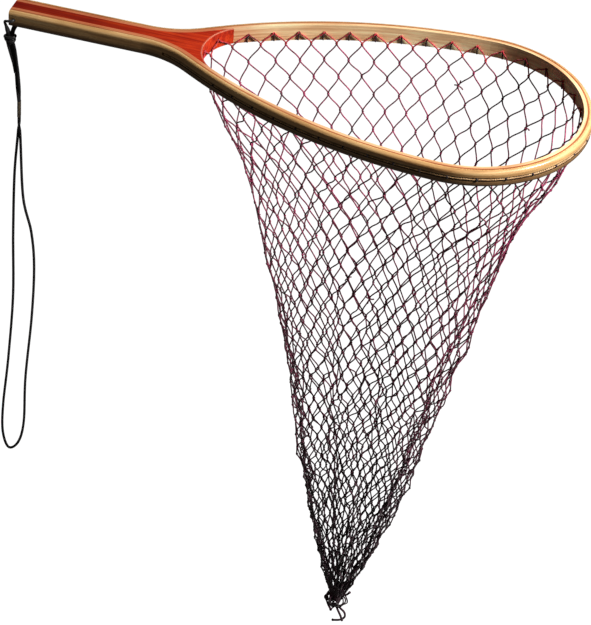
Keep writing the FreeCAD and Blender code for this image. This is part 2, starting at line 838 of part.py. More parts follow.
def lanyard_neck_shape():
    """Cord through the cross hole: both sides come down together into the knot.

    The near side springs out past the butt's corner before it hangs; the far side passes
    under the butt.
    """
    grip = size("handle_gap") / 2 + STRIPS
    knot_top = -size("knot_drop") + size("knot_height") / 2
    offset = size("strand_offset")
    x = size("lanyard_x")
    near = [
        vec(size("knot_x") - offset, LANYARD_Y, knot_top - 2.0),
        vec(size("knot_x") - offset, LANYARD_Y - 1.6, knot_top + 3.6),
        vec(x - 7.1, -grip - 1.7, -8.4),
        vec(x - 8.7, -grip - 2.2, -2.6),
        vec(x - 5.6, -grip - 3.0, -0.9),
        vec(x - 1.8, -grip - 2.8, -0.3),
        vec(x, -grip - 0.4, 0.0),
        vec(x, -grip * 0.55, 0.0),
    ]
    far = [
        vec(x, 0, 0.0),
        vec(x, grip * 0.55, 0.0),
        vec(x, grip + 0.6, -0.2),
        vec(x, grip + 3.3, -3.6),
        vec(x - 1.0, grip + 2.4, -10.0),
        vec(x - 3.0, grip - 5.0, -16.0),
        vec(x - 4.4, -0.5, -17.6),
        vec(size("knot_x") + offset - 0.4, LANYARD_Y + 4.6, knot_top + 1.2),
        vec(size("knot_x") + offset, LANYARD_Y, knot_top - 2.0),
    ]
    return cord_along(near + far, size("lanyard_dia") / 2)


def lanyard_knot_shape():
    """Overhand knot gathering both strands: a body with three raised turns."""
    radius = size("lanyard_dia") / 2
    core_radius = size("knot_radius")
    centre = vec(size("knot_x"), LANYARD_Y, -size("knot_drop"))
    turns = []
    # lift, tilt in X, tilt in Y and extra radius of each raised turn
    raised = ((2.9, 0.12, 0.1, -0.7), (0.0, -0.2, 0.15, 0.8), (-2.9, 0.1, -0.12, -0.8))
    for lift, tilt_x, tilt_y, swell in raised:
        axis = vec(tilt_x, tilt_y, 1)
        turns.append(Part.makeTorus(core_radius + swell, radius, centre + vec(0, 0, lift), axis))
    height = size("knot_height") - 2 * radius
    core = Part.makeCylinder(core_radius, height, centre - vec(0, 0, height / 2), Z_AXIS)
    return core.multiFuse(turns).removeSplitter()


def lanyard_strand(tag, side):
    """One strand: slanting from the knot to the bend, then hanging plumb to the split."""
    rise = f"(sizes.bend_drop - sizes.knot_drop - sizes.knot_height / 2 - {KNOT_GAP})"
    run = "(sizes.band_x - sizes.knot_x)"
    x = size("band_x") + side * size("strand_offset")
    bend = vec(x, LANYARD_Y, -size("bend_drop"))
    upwards = vec(
        size("knot_x") - size("band_x"),
        0,
        size("bend_drop") - size("knot_drop") - size("knot_height") / 2 - KNOT_GAP,
    )
    upper = doc.addObject("Part::Cylinder", f"slanting_{tag}")
    upper.setExpression("Height", f"sqrt({rise}^2 + {run}^2)")
    upper.Placement = FreeCAD.Placement(bend, FreeCAD.Rotation(Z_AXIS, upwards))
    corner = doc.addObject("Part::Sphere", f"bend_{tag}")
    corner.Placement = FreeCAD.Placement(bend, FreeCAD.Rotation())
    lower = doc.addObject("Part::Cylinder", f"plumb_{tag}")
    lower.setExpression("Height", "sizes.split_drop - sizes.fold_gap - sizes.bend_drop")
    low = vec(x, LANYARD_Y, size("fold_gap") - size("split_drop"))
    lower.Placement = FreeCAD.Placement(low, FreeCAD.Rotation())
    for part in (upper, corner, lower):
        part.setExpression("Radius", "sizes.lanyard_dia / 2")
    strand = doc.addObject("Part::MultiFuse", f"strand_{tag}")
    strand.Shapes = [upper, corner, lower]
    return strand


def lanyard_strand_pair():
    """The two strands side by side between the knot and the split."""
    pair = doc.addObject("Part::Compound", "lanyard_strands")
    pair.Label = "lanyard_strands"
    pair.Links = [lanyard_strand("left", -1), lanyard_strand("right", 1)]
    doc.recompute()
    return pair


def tangent_centre(start, end_centre, radius, end_radius, right_of_start):
    """Centre of an arc through start that meets a smaller circle tangentially from outside it."""
    reach = radius - end_radius
    gap = end_centre - start
    along = (radius**2 - reach**2 + gap.Length**2) / (2 * gap.Length)
    across = math.sqrt(radius**2 - along**2)
    direction = gap.normalize()
    turned = vec(-direction.y, direction.x)
    if (turned.x > 0) != right_of_start:
        turned = turned * -1
    return start + direction * along + turned * across


def lanyard_loop_body():
    """The long wrist loop hanging open below the split: two long arcs and a small one."""
    body = new_body("lanyard_loop")
    length = size("loop_drop") - size("split_drop")
    bottom = vec(size("loop_bottom_x"), -length + size("loop_end_radius"))
    path = new_sketch(body, "loop_path", "XZ_Plane")
    sides = []
    for side, alias in ((-1, "loop_left_radius"), (1, "loop_right_radius")):
        start = vec(side * size("strand_offset"), -LOOP_START)
        centre = tangent_centre(start, bottom, size(alias), size("loop_end_radius"), side < 0)
        meeting = bottom + (bottom - centre).normalize() * size("loop_end_radius")
        start_angle = math.atan2(start.y - centre.y, start.x - centre.x)
        meeting_angle = math.atan2(meeting.y - centre.y, meeting.x - centre.x)
        circle = Part.Circle(centre, Z_AXIS, size(alias))
        if side < 0:
            arc = Part.ArcOfCircle(circle, start_angle % (2 * math.pi), meeting_angle % (2 * math.pi))
        else:
            arc = Part.ArcOfCircle(circle, meeting_angle, start_angle)
        sides.append((path.addGeometry(arc), start, meeting, alias))
    left, right = sides
    angles = [math.atan2(one[2].y - bottom.y, one[2].x - bottom.x) for one in (left, right)]
    angles = [angle % (2 * math.pi) for angle in angles]
    end_circle = Part.Circle(bottom, Z_AXIS, size("loop_end_radius"))
    end = path.addGeometry(Part.ArcOfCircle(end_circle, angles[0], angles[1]))
    path.addConstraint(Sketcher.Constraint("Tangent", left[0], END, end, START))
    path.addConstraint(Sketcher.Constraint("Tangent", end, END, right[0], START))
    for (geometry, start, _, alias), point, sign in ((left, START, "-"), (right, END, "")):
        bind(
            path,
            Sketcher.Constraint("DistanceX", X_AXIS_GEO, START, geometry, point, start.x),
            f"{sign}sizes.strand_offset",
            f"{alias}_start",
        )
        path.addConstraint(Sketcher.Constraint("DistanceY", X_AXIS_GEO, START, geometry, point, start.y))
        bind(path, Sketcher.Constraint("Radius", geometry, size(alias)), f"sizes.{alias}", alias)
    bind(path, Sketcher.Constraint("Radius", end, size("loop_end_radius")), "sizes.loop_end_radius", "end_r")
    bind(
        path,
        Sketcher.Constraint("DistanceX", X_AXIS_GEO, START, end, CENTRE, bottom.x),
        "sizes.loop_bottom_x",
        "end_x",
    )
    bind(
        path,
        Sketcher.Constraint("DistanceY", X_AXIS_GEO, START, end, CENTRE, bottom.y),
        "sizes.loop_end_radius - (sizes.loop_drop - sizes.split_drop)",
        "end_z",
    )
    section = new_sketch(body, "loop_section", "XY_Plane")
    offset = size("strand_offset")
    circle = section.addGeometry(Part.Circle(vec(-offset, 0), Z_AXIS, size("lanyard_dia") / 2))
    section.addConstraint(Sketcher.Constraint("PointOnObject", circle, CENTRE, X_AXIS_GEO))
    bind(
        section,
        Sketcher.Constraint("DistanceX", X_AXIS_GEO, START, circle, CENTRE, -offset),
        "-sizes.strand_offset",
        "cord_x",
    )
    bind(section, Sketcher.Constraint("Diameter", circle, size("lanyard_dia")), "sizes.lanyard_dia", "cord_d")
    section.AttachmentOffset = FreeCAD.Placement(vec(0, 0, -LOOP_START), FreeCAD.Rotation())
    doc.recompute()
    pipe = body.newObject("PartDesign::AdditivePipe", "loop_pipe")
    pipe.Profile = section
    pipe.Spine = (path, [""])
    split = vec(size("band_x"), LANYARD_Y, -size("split_drop"))
    body.Placement = FreeCAD.Placement(split, FreeCAD.Rotation())
    doc.recompute()
    return body


lanyard_neck = coded_piece("lanyard_neck", lanyard_neck_shape())
lanyard_knot = coded_piece("lanyard_knot", lanyard_knot_shape().cut(lanyard_neck.Shape))
lanyard_strands = lanyard_strand_pair()
lanyard_loop = lanyard_loop_body()


def whipping_body():
    """A short band of tape round both strands."""
    body = new_body("lanyard_whipping")
    sketch = new_sketch(body, "band_outline")
    for tag, inset, text in (("outer", 0.0, ""), ("inner", size("band_wall"), " - 2 * sizes.band_wall")):
        wide = size("band_wide") / 2 - inset
        narrow = size("band_narrow") / 2 - inset
        ellipse = sketch.addGeometry(Part.Ellipse(vec(wide, 0), vec(0, narrow), vec(0, 0)))
        sketch.exposeInternalGeometry(ellipse)
        major, minor = ellipse + 1, ellipse + 2
        sketch.addConstraint(Sketcher.Constraint("Coincident", ellipse, CENTRE, X_AXIS_GEO, START))
        sketch.addConstraint(Sketcher.Constraint("Horizontal", major))
        bind(
            sketch, Sketcher.Constraint("Distance", major, 2 * wide), f"sizes.band_wide{text}", f"{tag}_wide"
        )
        bind(
            sketch,
            Sketcher.Constraint("Distance", minor, 2 * narrow),
            f"sizes.band_narrow{text}",
            f"{tag}_narrow",
        )
    pad = body.newObject("PartDesign::Pad", "band_pad")
    pad.Profile = sketch
    pad.Midplane = True
    pad.setExpression("Length", "sizes.whip_length")
    middle = vec(size("band_x"), LANYARD_Y, -size("whip_drop"))
    body.Placement = FreeCAD.Placement(middle, FreeCAD.Rotation())
    doc.recompute()
    return body


lanyard_whipping = whipping_body()

# ---------------------------------------------------------------- check and write
PIECES = [
    outer_lamination,
    accent_lamination,
    inner_lamination,
    handle_core,
    lacing_cord,
    mesh_bights,
    net_collar,
    net_belly,
    net_foot,
    net_tail,
    tail_tie,
    tail_ends,
    lanyard_neck,
    lanyard_knot,
    lanyard_strands,
    lanyard_whipping,
    lanyard_loop,
]
doc.recompute()
for item in doc.Objects:
    bad = [state for state in item.State if state in ("Invalid", "Error")]
    if bad:
        raise RuntimeError(f"{item.Name}: {bad}")
for piece in PIECES:
    if piece.Shape.isNull() or not piece.Shape.isValid():
        raise RuntimeError(f"{piece.Label}: bad shape")
os.makedirs("parts", exist_ok=True)
for piece in PIECES:
    piece.Shape.exportStep(f"parts/{piece.Label}.step")
    box = piece.Shape.optimalBoundingBox()
    print(
        piece.Label,
        f"solids {len(piece.Shape.Solids)} volume {piece.Shape.Volume:.0f}",
        f"x {box.XMin:.1f}..{box.XMax:.1f} y {box.YMin:.1f}..{box.YMax:.1f} z {box.ZMin:.1f}..{box.ZMax:.1f}",
    )
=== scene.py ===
import json
import math

import bpy
import numpy as np
from mathutils import Matrix, Vector


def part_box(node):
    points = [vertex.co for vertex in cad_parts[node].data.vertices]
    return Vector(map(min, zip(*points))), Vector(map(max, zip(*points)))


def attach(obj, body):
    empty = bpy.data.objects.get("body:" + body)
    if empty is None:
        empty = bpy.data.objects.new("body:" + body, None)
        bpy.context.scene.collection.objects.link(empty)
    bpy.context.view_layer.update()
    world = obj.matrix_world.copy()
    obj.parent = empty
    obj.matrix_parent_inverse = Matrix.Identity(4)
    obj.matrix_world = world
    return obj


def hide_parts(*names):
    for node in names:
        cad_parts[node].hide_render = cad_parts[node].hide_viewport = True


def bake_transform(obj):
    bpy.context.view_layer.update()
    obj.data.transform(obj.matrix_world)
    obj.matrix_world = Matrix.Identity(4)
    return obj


# Looks of a wooden landing net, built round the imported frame.  Metres, Z up, +X towards the hoop's far end.
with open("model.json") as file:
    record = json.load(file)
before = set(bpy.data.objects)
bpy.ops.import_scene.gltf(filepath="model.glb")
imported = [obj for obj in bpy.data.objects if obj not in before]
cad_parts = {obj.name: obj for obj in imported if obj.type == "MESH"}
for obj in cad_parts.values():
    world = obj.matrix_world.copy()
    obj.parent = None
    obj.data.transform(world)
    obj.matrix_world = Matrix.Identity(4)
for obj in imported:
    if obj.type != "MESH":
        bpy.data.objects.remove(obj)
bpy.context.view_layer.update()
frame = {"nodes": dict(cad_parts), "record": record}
rng = np.random.default_rng(11)
MM = 0.001

# ------ the hoop's outline, from the frame
outer_low, outer_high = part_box("outer_lamination")
_, inner_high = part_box("inner_lamination")
_, core_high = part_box("handle_core")
HALF_THICK = outer_high.z
INNER_STRIP = 3.4 * MM
TIP_X = inner_high.x - INNER_STRIP
STRIPS = outer_high.x - TIP_X
HANDLE_GAP = 12.4 * MM
LEG_LENGTH = 141.0 * MM
FLARE_RADIUS = 99.0 * MM
FLARE_ANGLE = math.radians(33.0)
FLARE_STRAIGHT = 17.0 * MM
SIDE_RADIUS = 516.0 * MM
CROTCH_X = 203.0 * MM
FLARE_Y = HANDLE_GAP / 2 + FLARE_RADIUS
FLARE_END_X = LEG_LENGTH + FLARE_RADIUS * math.sin(FLARE_ANGLE)
FLARE_END_Y = FLARE_Y - FLARE_RADIUS * math.cos(FLARE_ANGLE)
STRAIGHT_END_X = FLARE_END_X + FLARE_STRAIGHT * math.cos(FLARE_ANGLE)
STRAIGHT_END_Y = FLARE_END_Y + FLARE_STRAIGHT * math.sin(FLARE_ANGLE)
SIDE_X = STRAIGHT_END_X + SIDE_RADIUS * math.sin(FLARE_ANGLE)
SIDE_Y = STRAIGHT_END_Y - SIDE_RADIUS * math.cos(FLARE_ANGLE)
TIP_REACH = TIP_X - SIDE_X
END_RADIUS = (SIDE_RADIUS**2 - TIP_REACH**2 - SIDE_Y**2) / (2 * (SIDE_RADIUS - TIP_REACH))
END_X = TIP_X - END_RADIUS
JOIN_ANGLE = math.atan2(-SIDE_Y, END_X - SIDE_X)
HORN_X = core_high.x
HORN_ANGLE = math.acos((HORN_X - SIDE_X) / SIDE_RADIUS)
HORN_Y = core_high.y
SCOOP_DEPTH = HORN_X - CROTCH_X
SCOOP_RADIUS = (HORN_Y**2 + SCOOP_DEPTH**2) / (2 * SCOOP_DEPTH)
SCOOP_X = CROTCH_X + SCOOP_RADIUS
SCOOP_HALF_ANGLE = math.asin(HORN_Y / SCOOP_RADIUS)
END_ARC = END_RADIUS * JOIN_ANGLE
SIDE_ARC = SIDE_RADIUS * (HORN_ANGLE - JOIN_ANGLE)
PERIMETER = 2 * (END_ARC + SIDE_ARC + SCOOP_RADIUS * SCOOP_HALF_ANGLE)

# The lacing groove in the outer strip, which starts past the straight handle.
GROOVE_DEPTH = 3.0 * MM
GROOVE_HALF = 1.8 * MM
GROOVE_START = 165 * MM
GROOVE_FADE = 20 * MM


def rim(distance):
    """Point and outward normal on the mouth's outline, from the far end round over +Y."""
    distance %= PERIMETER
    if distance > PERIMETER / 2:
        x, y, normal_x, normal_y = rim(PERIMETER - distance)
        return x, -y, normal_x, -normal_y
    if distance <= END_ARC:
        angle, centre_x, centre_y, radius = distance / END_RADIUS, END_X, 0.0, END_RADIUS
    elif distance <= END_ARC + SIDE_ARC:
        angle = JOIN_ANGLE + (distance - END_ARC) / SIDE_RADIUS
        centre_x, centre_y, radius = SIDE_X, SIDE_Y, SIDE_RADIUS
    else:
        angle = math.pi - SCOOP_HALF_ANGLE + (distance - END_ARC - SIDE_ARC) / SCOOP_RADIUS
        centre_x, centre_y, radius = SCOOP_X, 0.0, SCOOP_RADIUS
    normal_x, normal_y = math.cos(angle), math.sin(angle)
    return centre_x + radius * normal_x, centre_y + radius * normal_y, normal_x, normal_y


def rim_arrays(distances):
    """Rim points and outward normals as arrays in the plane z = 0."""
    rows = np.array([rim(d) for d in distances])
    flat = np.zeros(len(rows))
    return np.column_stack([rows[:, :2], flat]), np.column_stack([rows[:, 2:], flat])


# ------ meshes in code
# Cord coordinates past half this value mark twine that a two-tone material draws darker, as painted shade on
# the bars that lie along the light.
SHADE_STEP = 10.0


def unit(vectors):
    return vectors / np.maximum(np.linalg.norm(vectors, axis=-1, keepdims=True), 1e-12)


def smooth_step(value):
    value = np.clip(value, 0.0, 1.0)
    return value * value * (3 - 2 * value)


def tubes(curves, radius, reference, sides=5, dye_and_shade=0):
    """Round cords along curves of shape (count, points, 3).

    Returns vertices, faces and one (around, along) pair in each face corner; along is in millimetres.
    A mark of 1 moves the around values past the marking step, which a two-tone material reads and draws
    darker as painted shade.
    """
    curves = np.asarray(curves, float)
    count, points = curves.shape[:2]
    radius = np.broadcast_to(np.asarray(radius, float), (count, points))
    tangent = unit(np.gradient(curves, axis=1))
    reference = np.broadcast_to(np.asarray(reference, float), curves.shape)
    across = unit(np.cross(tangent, reference))
    up = np.cross(across, tangent)
    turn = 2 * np.pi * np.arange(sides) / sides
    ring = across[:, :, None] * np.cos(turn)[:, None] + up[:, :, None] * np.sin(turn)[:, None]
    vertices = curves[:, :, None] + ring * radius[:, :, None, None]
    steps = np.linalg.norm(np.diff(curves, axis=1), axis=2)
    along = np.concatenate([np.zeros((count, 1)), np.cumsum(steps, axis=1)], axis=1) / MM
    index = np.arange(count * points * sides).reshape(count, points, sides)
    after = np.roll(index, -1, axis=2)
    quads = np.stack([index[:, :-1], after[:, :-1], after[:, 1:], index[:, 1:]], axis=-1).reshape(-1, 4)
    around_low = np.broadcast_to(np.arange(sides) / sides, (count, points - 1, sides))
    around_high = around_low + 1 / sides
    low = np.broadcast_to(along[:, :-1, None], around_low.shape)
    high = np.broadcast_to(along[:, 1:, None], around_low.shape)
    corners = [(around_low, low), (around_high, low), (around_high, high), (around_low, high)]
    uv = np.stack([np.stack(corner, axis=-1) for corner in corners], axis=-2).reshape(-1, 2)
    starts = index[:, 0, ::-1].reshape(-1, sides)
    ends = index[:, -1].reshape(-1, sides)
    faces = quads.tolist() + starts.tolist() + ends.tolist()
    cap_uv = np.tile(np.column_stack([np.arange(sides) / sides, np.zeros(sides)]), (2 * count, 1))
    uv = np.concatenate([uv, cap_uv])
    return vertices.reshape(-1, 3), faces, uv + [dye_and_shade * SHADE_STEP, 0.0]


def join_parts(parts):
    """One set of vertices, faces and corner coordinates from several."""
    vertices, faces, uvs, base = [], [], [], 0
    for part_vertices, part_faces, part_uv in parts:
        vertices.append(part_vertices)
        faces += [[corner + base for corner in face] for face in part_faces]
        uvs.append(part_uv)
        base += len(part_vertices)
    return np.concatenate(vertices), faces, np.concatenate(uvs)


def make_piece(name, parts, material):
    vertices, faces, uv = join_parts(parts)
    mesh = bpy.data.meshes.new(name)
    mesh.from_pydata(vertices.tolist(), [], faces)
    mesh.uv_layers.new(name="cord").data.foreach_set("uv", uv.astype(np.float32).ravel())
    mesh.polygons.foreach_set("use_smooth", np.ones(len(faces), bool))
    mesh.materials.append(material)
    mesh.update()
    piece = bpy.data.objects.new(name, mesh)
    bpy.context.scene.collection.objects.link(piece)
    return piece


def hermite(start, end, start_tangent, end_tangent, points):
    """Smooth curves from start to end, for arrays of shape (count, 3)."""
    t = np.linspace(0, 1, points)[None, :, None]
    start, end = start[:, None], end[:, None]
    start_tangent, end_tangent = start_tangent[:, None], end_tangent[:, None]
    return (
        (2 * t**3 - 3 * t**2 + 1) * start
        + (t**3 - 2 * t**2 + t) * start_tangent
        + (-2 * t**3 + 3 * t**2) * end
        + (t**3 - t**2) * end_tangent
    )


def through(points, samples):
    """One smooth curve through a few points, shape (1, samples, 3)."""
    points = np.asarray(points, float)
    slopes = np.gradient(points, axis=0)
    each = max(2, samples // (len(points) - 1))
    spans = hermite(points[:-1], points[1:], slopes[:-1], slopes[1:], each + 1)
    return np.concatenate([points[:1], spans[:, 1:].reshape(-1, 3)])[None]


def ring_points(centre, half_x, half_y, angle, heights):
    """Points round an upright axis: an ellipse, or a coil when the heights rise."""
    return np.column_stack([centre[0] + half_x * np.cos(angle), centre[1] + half_y * np.sin(angle), heights])


def offsets_from(point, *offsets):
    """Points at offsets in millimetres from a point."""
    return [point + np.array(offset) * MM for offset in offsets]


# ------ materials
def linear(colour):
    """A colour given in display values 0 to 255, turned into linear light."""
    values = [c / 255 for c in colour]
    return [c / 12.92 if c <= 0.04045 else ((c + 0.055) / 1.055) ** 2.4 for c in values] + [1.0]


class Nodes:
    """A node tree, with short calls to add nodes to it."""

    def __init__(self, tree):
        self.tree = tree
        self.tree.nodes.clear()

    def add(self, kind, inputs=None, **settings):
        node = self.tree.nodes.new(kind)
        for key, value in settings.items():
            setattr(node, key, value)
        for key, value in (inputs or {}).items():
            self.set(node, key, value)
        return node

    def set(self, node, key, value):
        if isinstance(value, bpy.types.NodeSocket):
            self.tree.links.new(value, node.inputs[key])
        else:
            node.inputs[key].default_value = value

    def math(self, operation, *values):
        return self.add("ShaderNodeMath", dict(enumerate(values)), operation=operation).outputs[0]

    def plus(self, first, second):
        return self.math("ADD", first, second)

    def minus(self, first, second):
        return self.math("SUBTRACT", first, second)

    def times(self, first, second):
        return self.math("MULTIPLY", first, second)

    def noise(self, vector, scale, detail=3.0, roughness=0.55, distortion=0.0):
        inputs = {"Vector": vector, "Scale": scale, "Detail": detail}
        inputs |= {"Roughness": roughness, "Distortion": distortion}
        return self.add("ShaderNodeTexNoise", inputs).outputs["Fac"]

    def ramp(self, factor, stops):
        node = self.add("ShaderNodeValToRGB", {"Fac": factor})
        elements = node.color_ramp.elements
        elements[0].position, elements[0].color = stops[0]
        elements[1].position, elements[1].color = stops[-1]
        for position, colour in stops[1:-1]:
            elements.new(position).color = colour
        return node.outputs["Color"]

    def mix(self, factor, first, second, blend="MIX"):
        inputs = {0: factor, 6: first, 7: second}
        return self.add("ShaderNodeMix", inputs, data_type="RGBA", blend_type=blend).outputs[2]

    def range(self, value, low, high, to_low=0.0, to_high=1.0):
        inputs = {"Value": value, "From Min": low, "From Max": high, "To Min": to_low, "To Max": to_high}
        return self.add("ShaderNodeMapRange", inputs).outputs[0]

    def position(self):
        return self.add("ShaderNodeTexCoord").outputs["Object"]

    def split(self, vector):
        return self.add("ShaderNodeSeparateXYZ", {"Vector": vector}).outputs

    def xyz(self):
        """The surface point's own x, y and z."""
        return self.split(self.position())

    def combine(self, x, y, z):
        return self.add("ShaderNodeCombineXYZ", {"X": x, "Y": y, "Z": z}).outputs[0]

    def shade(self, colour, factor):
        """A colour made lighter or darker by a grey factor."""
        return self.mix(1.0, colour, self.combine(factor, factor, factor), "MULTIPLY")

    def bump(self, height, strength, distance):
        inputs = {"Height": height, "Strength": strength, "Distance": distance}
        return self.add("ShaderNodeBump", inputs).outputs[0]

    def distance(self, x, y, centre_x, centre_y):
        """How far a point is from an upright axis."""
        across, up = self.minus(x, centre_x), self.minus(y, centre_y)
        return self.math("SQRT", self.plus(self.times(across, across), self.times(up, up)))


class Shader(Nodes):
    """A new material's node tree."""

    def __init__(self, name):
        self.material = bpy.data.materials.new(name)
        self.material.use_nodes = True
        super().__init__(self.material.node_tree)

    def finish(self, inputs):
        """Build the surface from its inputs and return the material."""
        surface = self.add("ShaderNodeBsdfPrincipled", inputs)
        self.add("ShaderNodeOutputMaterial", {"Surface": surface.outputs[0]})
        return self.material


def strip_coordinates(shader):
    """(along, offset from the mouth's outline, height) for bent strips: the grain follows the bend."""
    x, y, z = shader.xyz()
    y = shader.math("ABSOLUTE", y)
    leg = shader.minus(y, HANDLE_GAP / 2)
    flare = shader.minus(FLARE_RADIUS, shader.distance(x, y, LEG_LENGTH, FLARE_Y))
    rise = shader.times(shader.minus(y, FLARE_END_Y), math.cos(FLARE_ANGLE))
    run = shader.times(shader.minus(x, FLARE_END_X), math.sin(FLARE_ANGLE))
    straight = shader.minus(rise, run)
    side = shader.minus(shader.distance(x, y, SIDE_X, SIDE_Y), SIDE_RADIUS)
    end = shader.minus(shader.distance(x, y, END_X, 0.0), END_RADIUS)
    offset = leg
    for limit, value in ((LEG_LENGTH, flare), (FLARE_END_X, straight), (STRAIGHT_END_X, side), (END_X, end)):
        past = shader.math("GREATER_THAN", x, limit)
        offset = shader.add("ShaderNodeMix", {0: past, 2: offset, 3: value}, data_type="FLOAT").outputs[0]
    return shader.minus(x, shader.times(y, 0.8)), offset, z


GROWTH_SHARE = 0.62
FIBRE_RELIEF = 0.12 * MM
DENT_RELIEF = 0.6 * MM


def wood(name, coordinates, colours, pore, gloss=0.55, streak=700.0, regions=None):
    """Varnished wood: growth streaks, cloudy patches, fine pores, small dents and a glossy coat.

    coordinates gives (along, across, height) for the grain; colours are (dark, middle, light);
    pore is how dark the pores are, streak how fine the growth lines.
    """
    dark, middle, light = map(linear, colours)
    shader = Shader(name)
    along, across, height = coordinates(shader)

    def stretched(along_scale, across_scale, height_scale):
        return shader.combine(
            shader.times(along, along_scale),
            shader.times(across, across_scale),
            shader.times(height, height_scale),
        )

    growth = shader.noise(stretched(11.0, streak, streak * 0.45), 1.0, 4.0, 0.6, 0.25)
    fibre = shader.noise(stretched(60.0, streak * 4.5, streak * 4.0), 1.0, 2.0, 0.5)
    cloud = shader.noise(stretched(16.0, 70.0, 70.0), 1.0, 2.0, 0.5)
    pores = shader.range(shader.noise(stretched(170.0, 4200.0, 3800.0), 1.0, 1.0, 0.4), 0.63, 0.70)
    tone = shader.plus(shader.times(growth, GROWTH_SHARE), shader.times(cloud, 1 - GROWTH_SHARE))
    colour = shader.ramp(tone, [(0.36, dark), (0.5, middle), (0.64, light)])
    fine = shader.range(fibre, 0.3, 0.7, 0.86, 1.1)
    colour = shader.shade(colour, fine)
    colour = shader.mix(shader.times(pores, pore), colour, dark)
    if regions is not None:
        colour = regions(shader, colour, across, height)
    scuffs = shader.noise(shader.position(), 240.0, 4.0, 0.65)
    relief = shader.plus(shader.times(fibre, 0.5), shader.times(pores, -0.8))
    normal = shader.bump(relief, 0.35, FIBRE_RELIEF)
    coat_normal = shader.bump(shader.noise(stretched(40.0, 260.0, 260.0), 1.0, 2.0), 0.12, DENT_RELIEF)
    return shader.finish(
        {
            "Base Color": colour,
            "Roughness": shader.range(scuffs, 0.3, 0.7, 0.38, 0.56),
            "Normal": normal,
            "Coat Weight": gloss,
            "Coat Roughness": shader.range(scuffs, 0.35, 0.75, 0.10, 0.26),
            "Coat Normal": coat_normal,
        }
    )


DYE_SHARE = 0.6


def cord(
    name, colours, lay, twist, braid=False, relief=0.16 * MM, sheen=0.3, roughness=0.6, fade=None, side_shade=0.0
):
    """Twisted or braided cord: lay ridges wind round it, with fibres, fuzz, uneven dyeing and painted shade
    between the ridges.

    colours are (dark, middle, light); lay is the number of ridges round, twist their pitch in mm.
    fade is (top, bottom, colour), the heights between which the cord takes on the colour: painted shade,
    darker lower down where less light reaches.
    The last argument is how much darker the marked half of the twine is: painted shade on the bars that lie
    along the light.
    """
    shader = Shader(name)
    around, along, _ = shader.split(shader.add("ShaderNodeUVMap", uv_map="cord").outputs[0])
    strands = shader.times(around, lay)
    run = shader.math("DIVIDE", along, twist)

    def ridge(phase):
        return shader.math("ABSOLUTE", shader.math("SINE", shader.times(phase, math.pi)))

    height = ridge(shader.plus(strands, run))
    if braid:
        height = shader.math("MAXIMUM", height, ridge(shader.minus(strands, run)))
    position = shader.position()
    dye_and_shade = shader.noise(position, 90.0, 3.0, 0.6)
    fuzz = shader.noise(position, 2600.0, 2.0, 0.6)
    tone = shader.plus(shader.times(dye_and_shade, DYE_SHARE), shader.times(fuzz, 1 - DYE_SHARE))
    if side_shade:
        # Painted shade: the marked bars are drawn darker, the others a little lighter.
        darker = shader.math("GREATER_THAN", around, SHADE_STEP / 2)
        tone = shader.plus(tone, shader.range(darker, 0.0, 1.0, side_shade * 0.4, -side_shade))
    dark, middle, light = map(linear, colours)
    colour = shader.ramp(tone, [(0.40, dark), (0.5, middle), (0.60, light)])
    # Painted shade in the hollows between the lay ridges.
    groove = shader.range(height, 0.0, 0.55, 0.45, 1.0)
    colour = shader.shade(colour, groove)
    # Painted shade towards the bottom, where less light reaches.
    if fade is not None:
        top, bottom, low_colour = fade
        _, _, z = shader.split(position)
        colour = shader.mix(shader.range(z, top, bottom), colour, low_colour, "MULTIPLY")
    normal = shader.bump(shader.plus(height, shader.times(fuzz, 0.35)), 0.8, relief)
    surface = {"Base Color": colour, "Roughness": roughness, "Normal": normal}
    return shader.finish(surface | {"Sheen Weight": sheen, "Sheen Roughness": 0.5})


def ash_regions(shader, colour, offset, height):
    """Outer strip: the groove is painted nearly black as shade in its recess, and painted shade darkens the
    face below it.
    """
    groove_floor = STRIPS - GROOVE_DEPTH
    depth_in = shader.range(offset, groove_floor - 0.2 * MM, groove_floor + 0.5 * MM)
    in_groove = shader.range(shader.math("ABSOLUTE", height), GROOVE_HALF + 0.7 * MM, GROOVE_HALF)
    x, _, _ = shader.xyz()
    grooved = shader.range(x, GROOVE_START, GROOVE_START + GROOVE_FADE)
    groove = shader.times(shader.times(depth_in, in_groove), grooved)
    # Painted shade: the groove's recess is coloured nearly black.
    colour = shader.mix(shader.times(groove, 0.93), colour, linear((22, 14, 10)))
    # Painted shade: the lower outer face is darkened to brown, with an uneven edge.
    shade_edge_noise = shader.noise(shader.position(), 60.0, 3.0, 0.6)
    edge = shader.plus(height, shader.times(shade_edge_noise, 2.4 * MM))
    low = shader.range(edge, 1.2 * MM, -2.6 * MM)
    outside = shader.range(offset, STRIPS - 3.2 * MM, STRIPS - 0.6 * MM)
    low_face_shade = shader.times(low, outside)
    return shader.mix(shader.times(low_face_shade, 0.8), colour, linear((74, 44, 24)))


# What turns the inner strip's pink into pale wood, and the stretch along the frame where it does so.
PALE_GAIN = (1.5, 3.4, 4.4, 1.0)
PALE_FROM = 215 * MM
PALE_TO = 275 * MM


def inner_regions(shader, colour, _offset, _height):
    """Inner strip: pink beside the stained core, pale in the hoop, and a little pinker on the near side as a
    painted reflection of red.
    """
    x, y, _ = shader.xyz()
    wander = shader.noise(shader.position(), 40.0, 2.0)
    reach = shader.plus(x, shader.times(wander, 0.03))
    pale = shader.range(reach, PALE_FROM, PALE_TO)
    # Painted reflection: the near side keeps more of the pink.
    near_reflection = shader.range(shader.plus(y, shader.times(x, 0.35)), 0.09, 0.15, 0.72, 1.0)
    pale = shader.times(pale, near_reflection)
    return shader.mix(pale, colour, shader.mix(1.0, colour, PALE_GAIN, "MULTIPLY"))


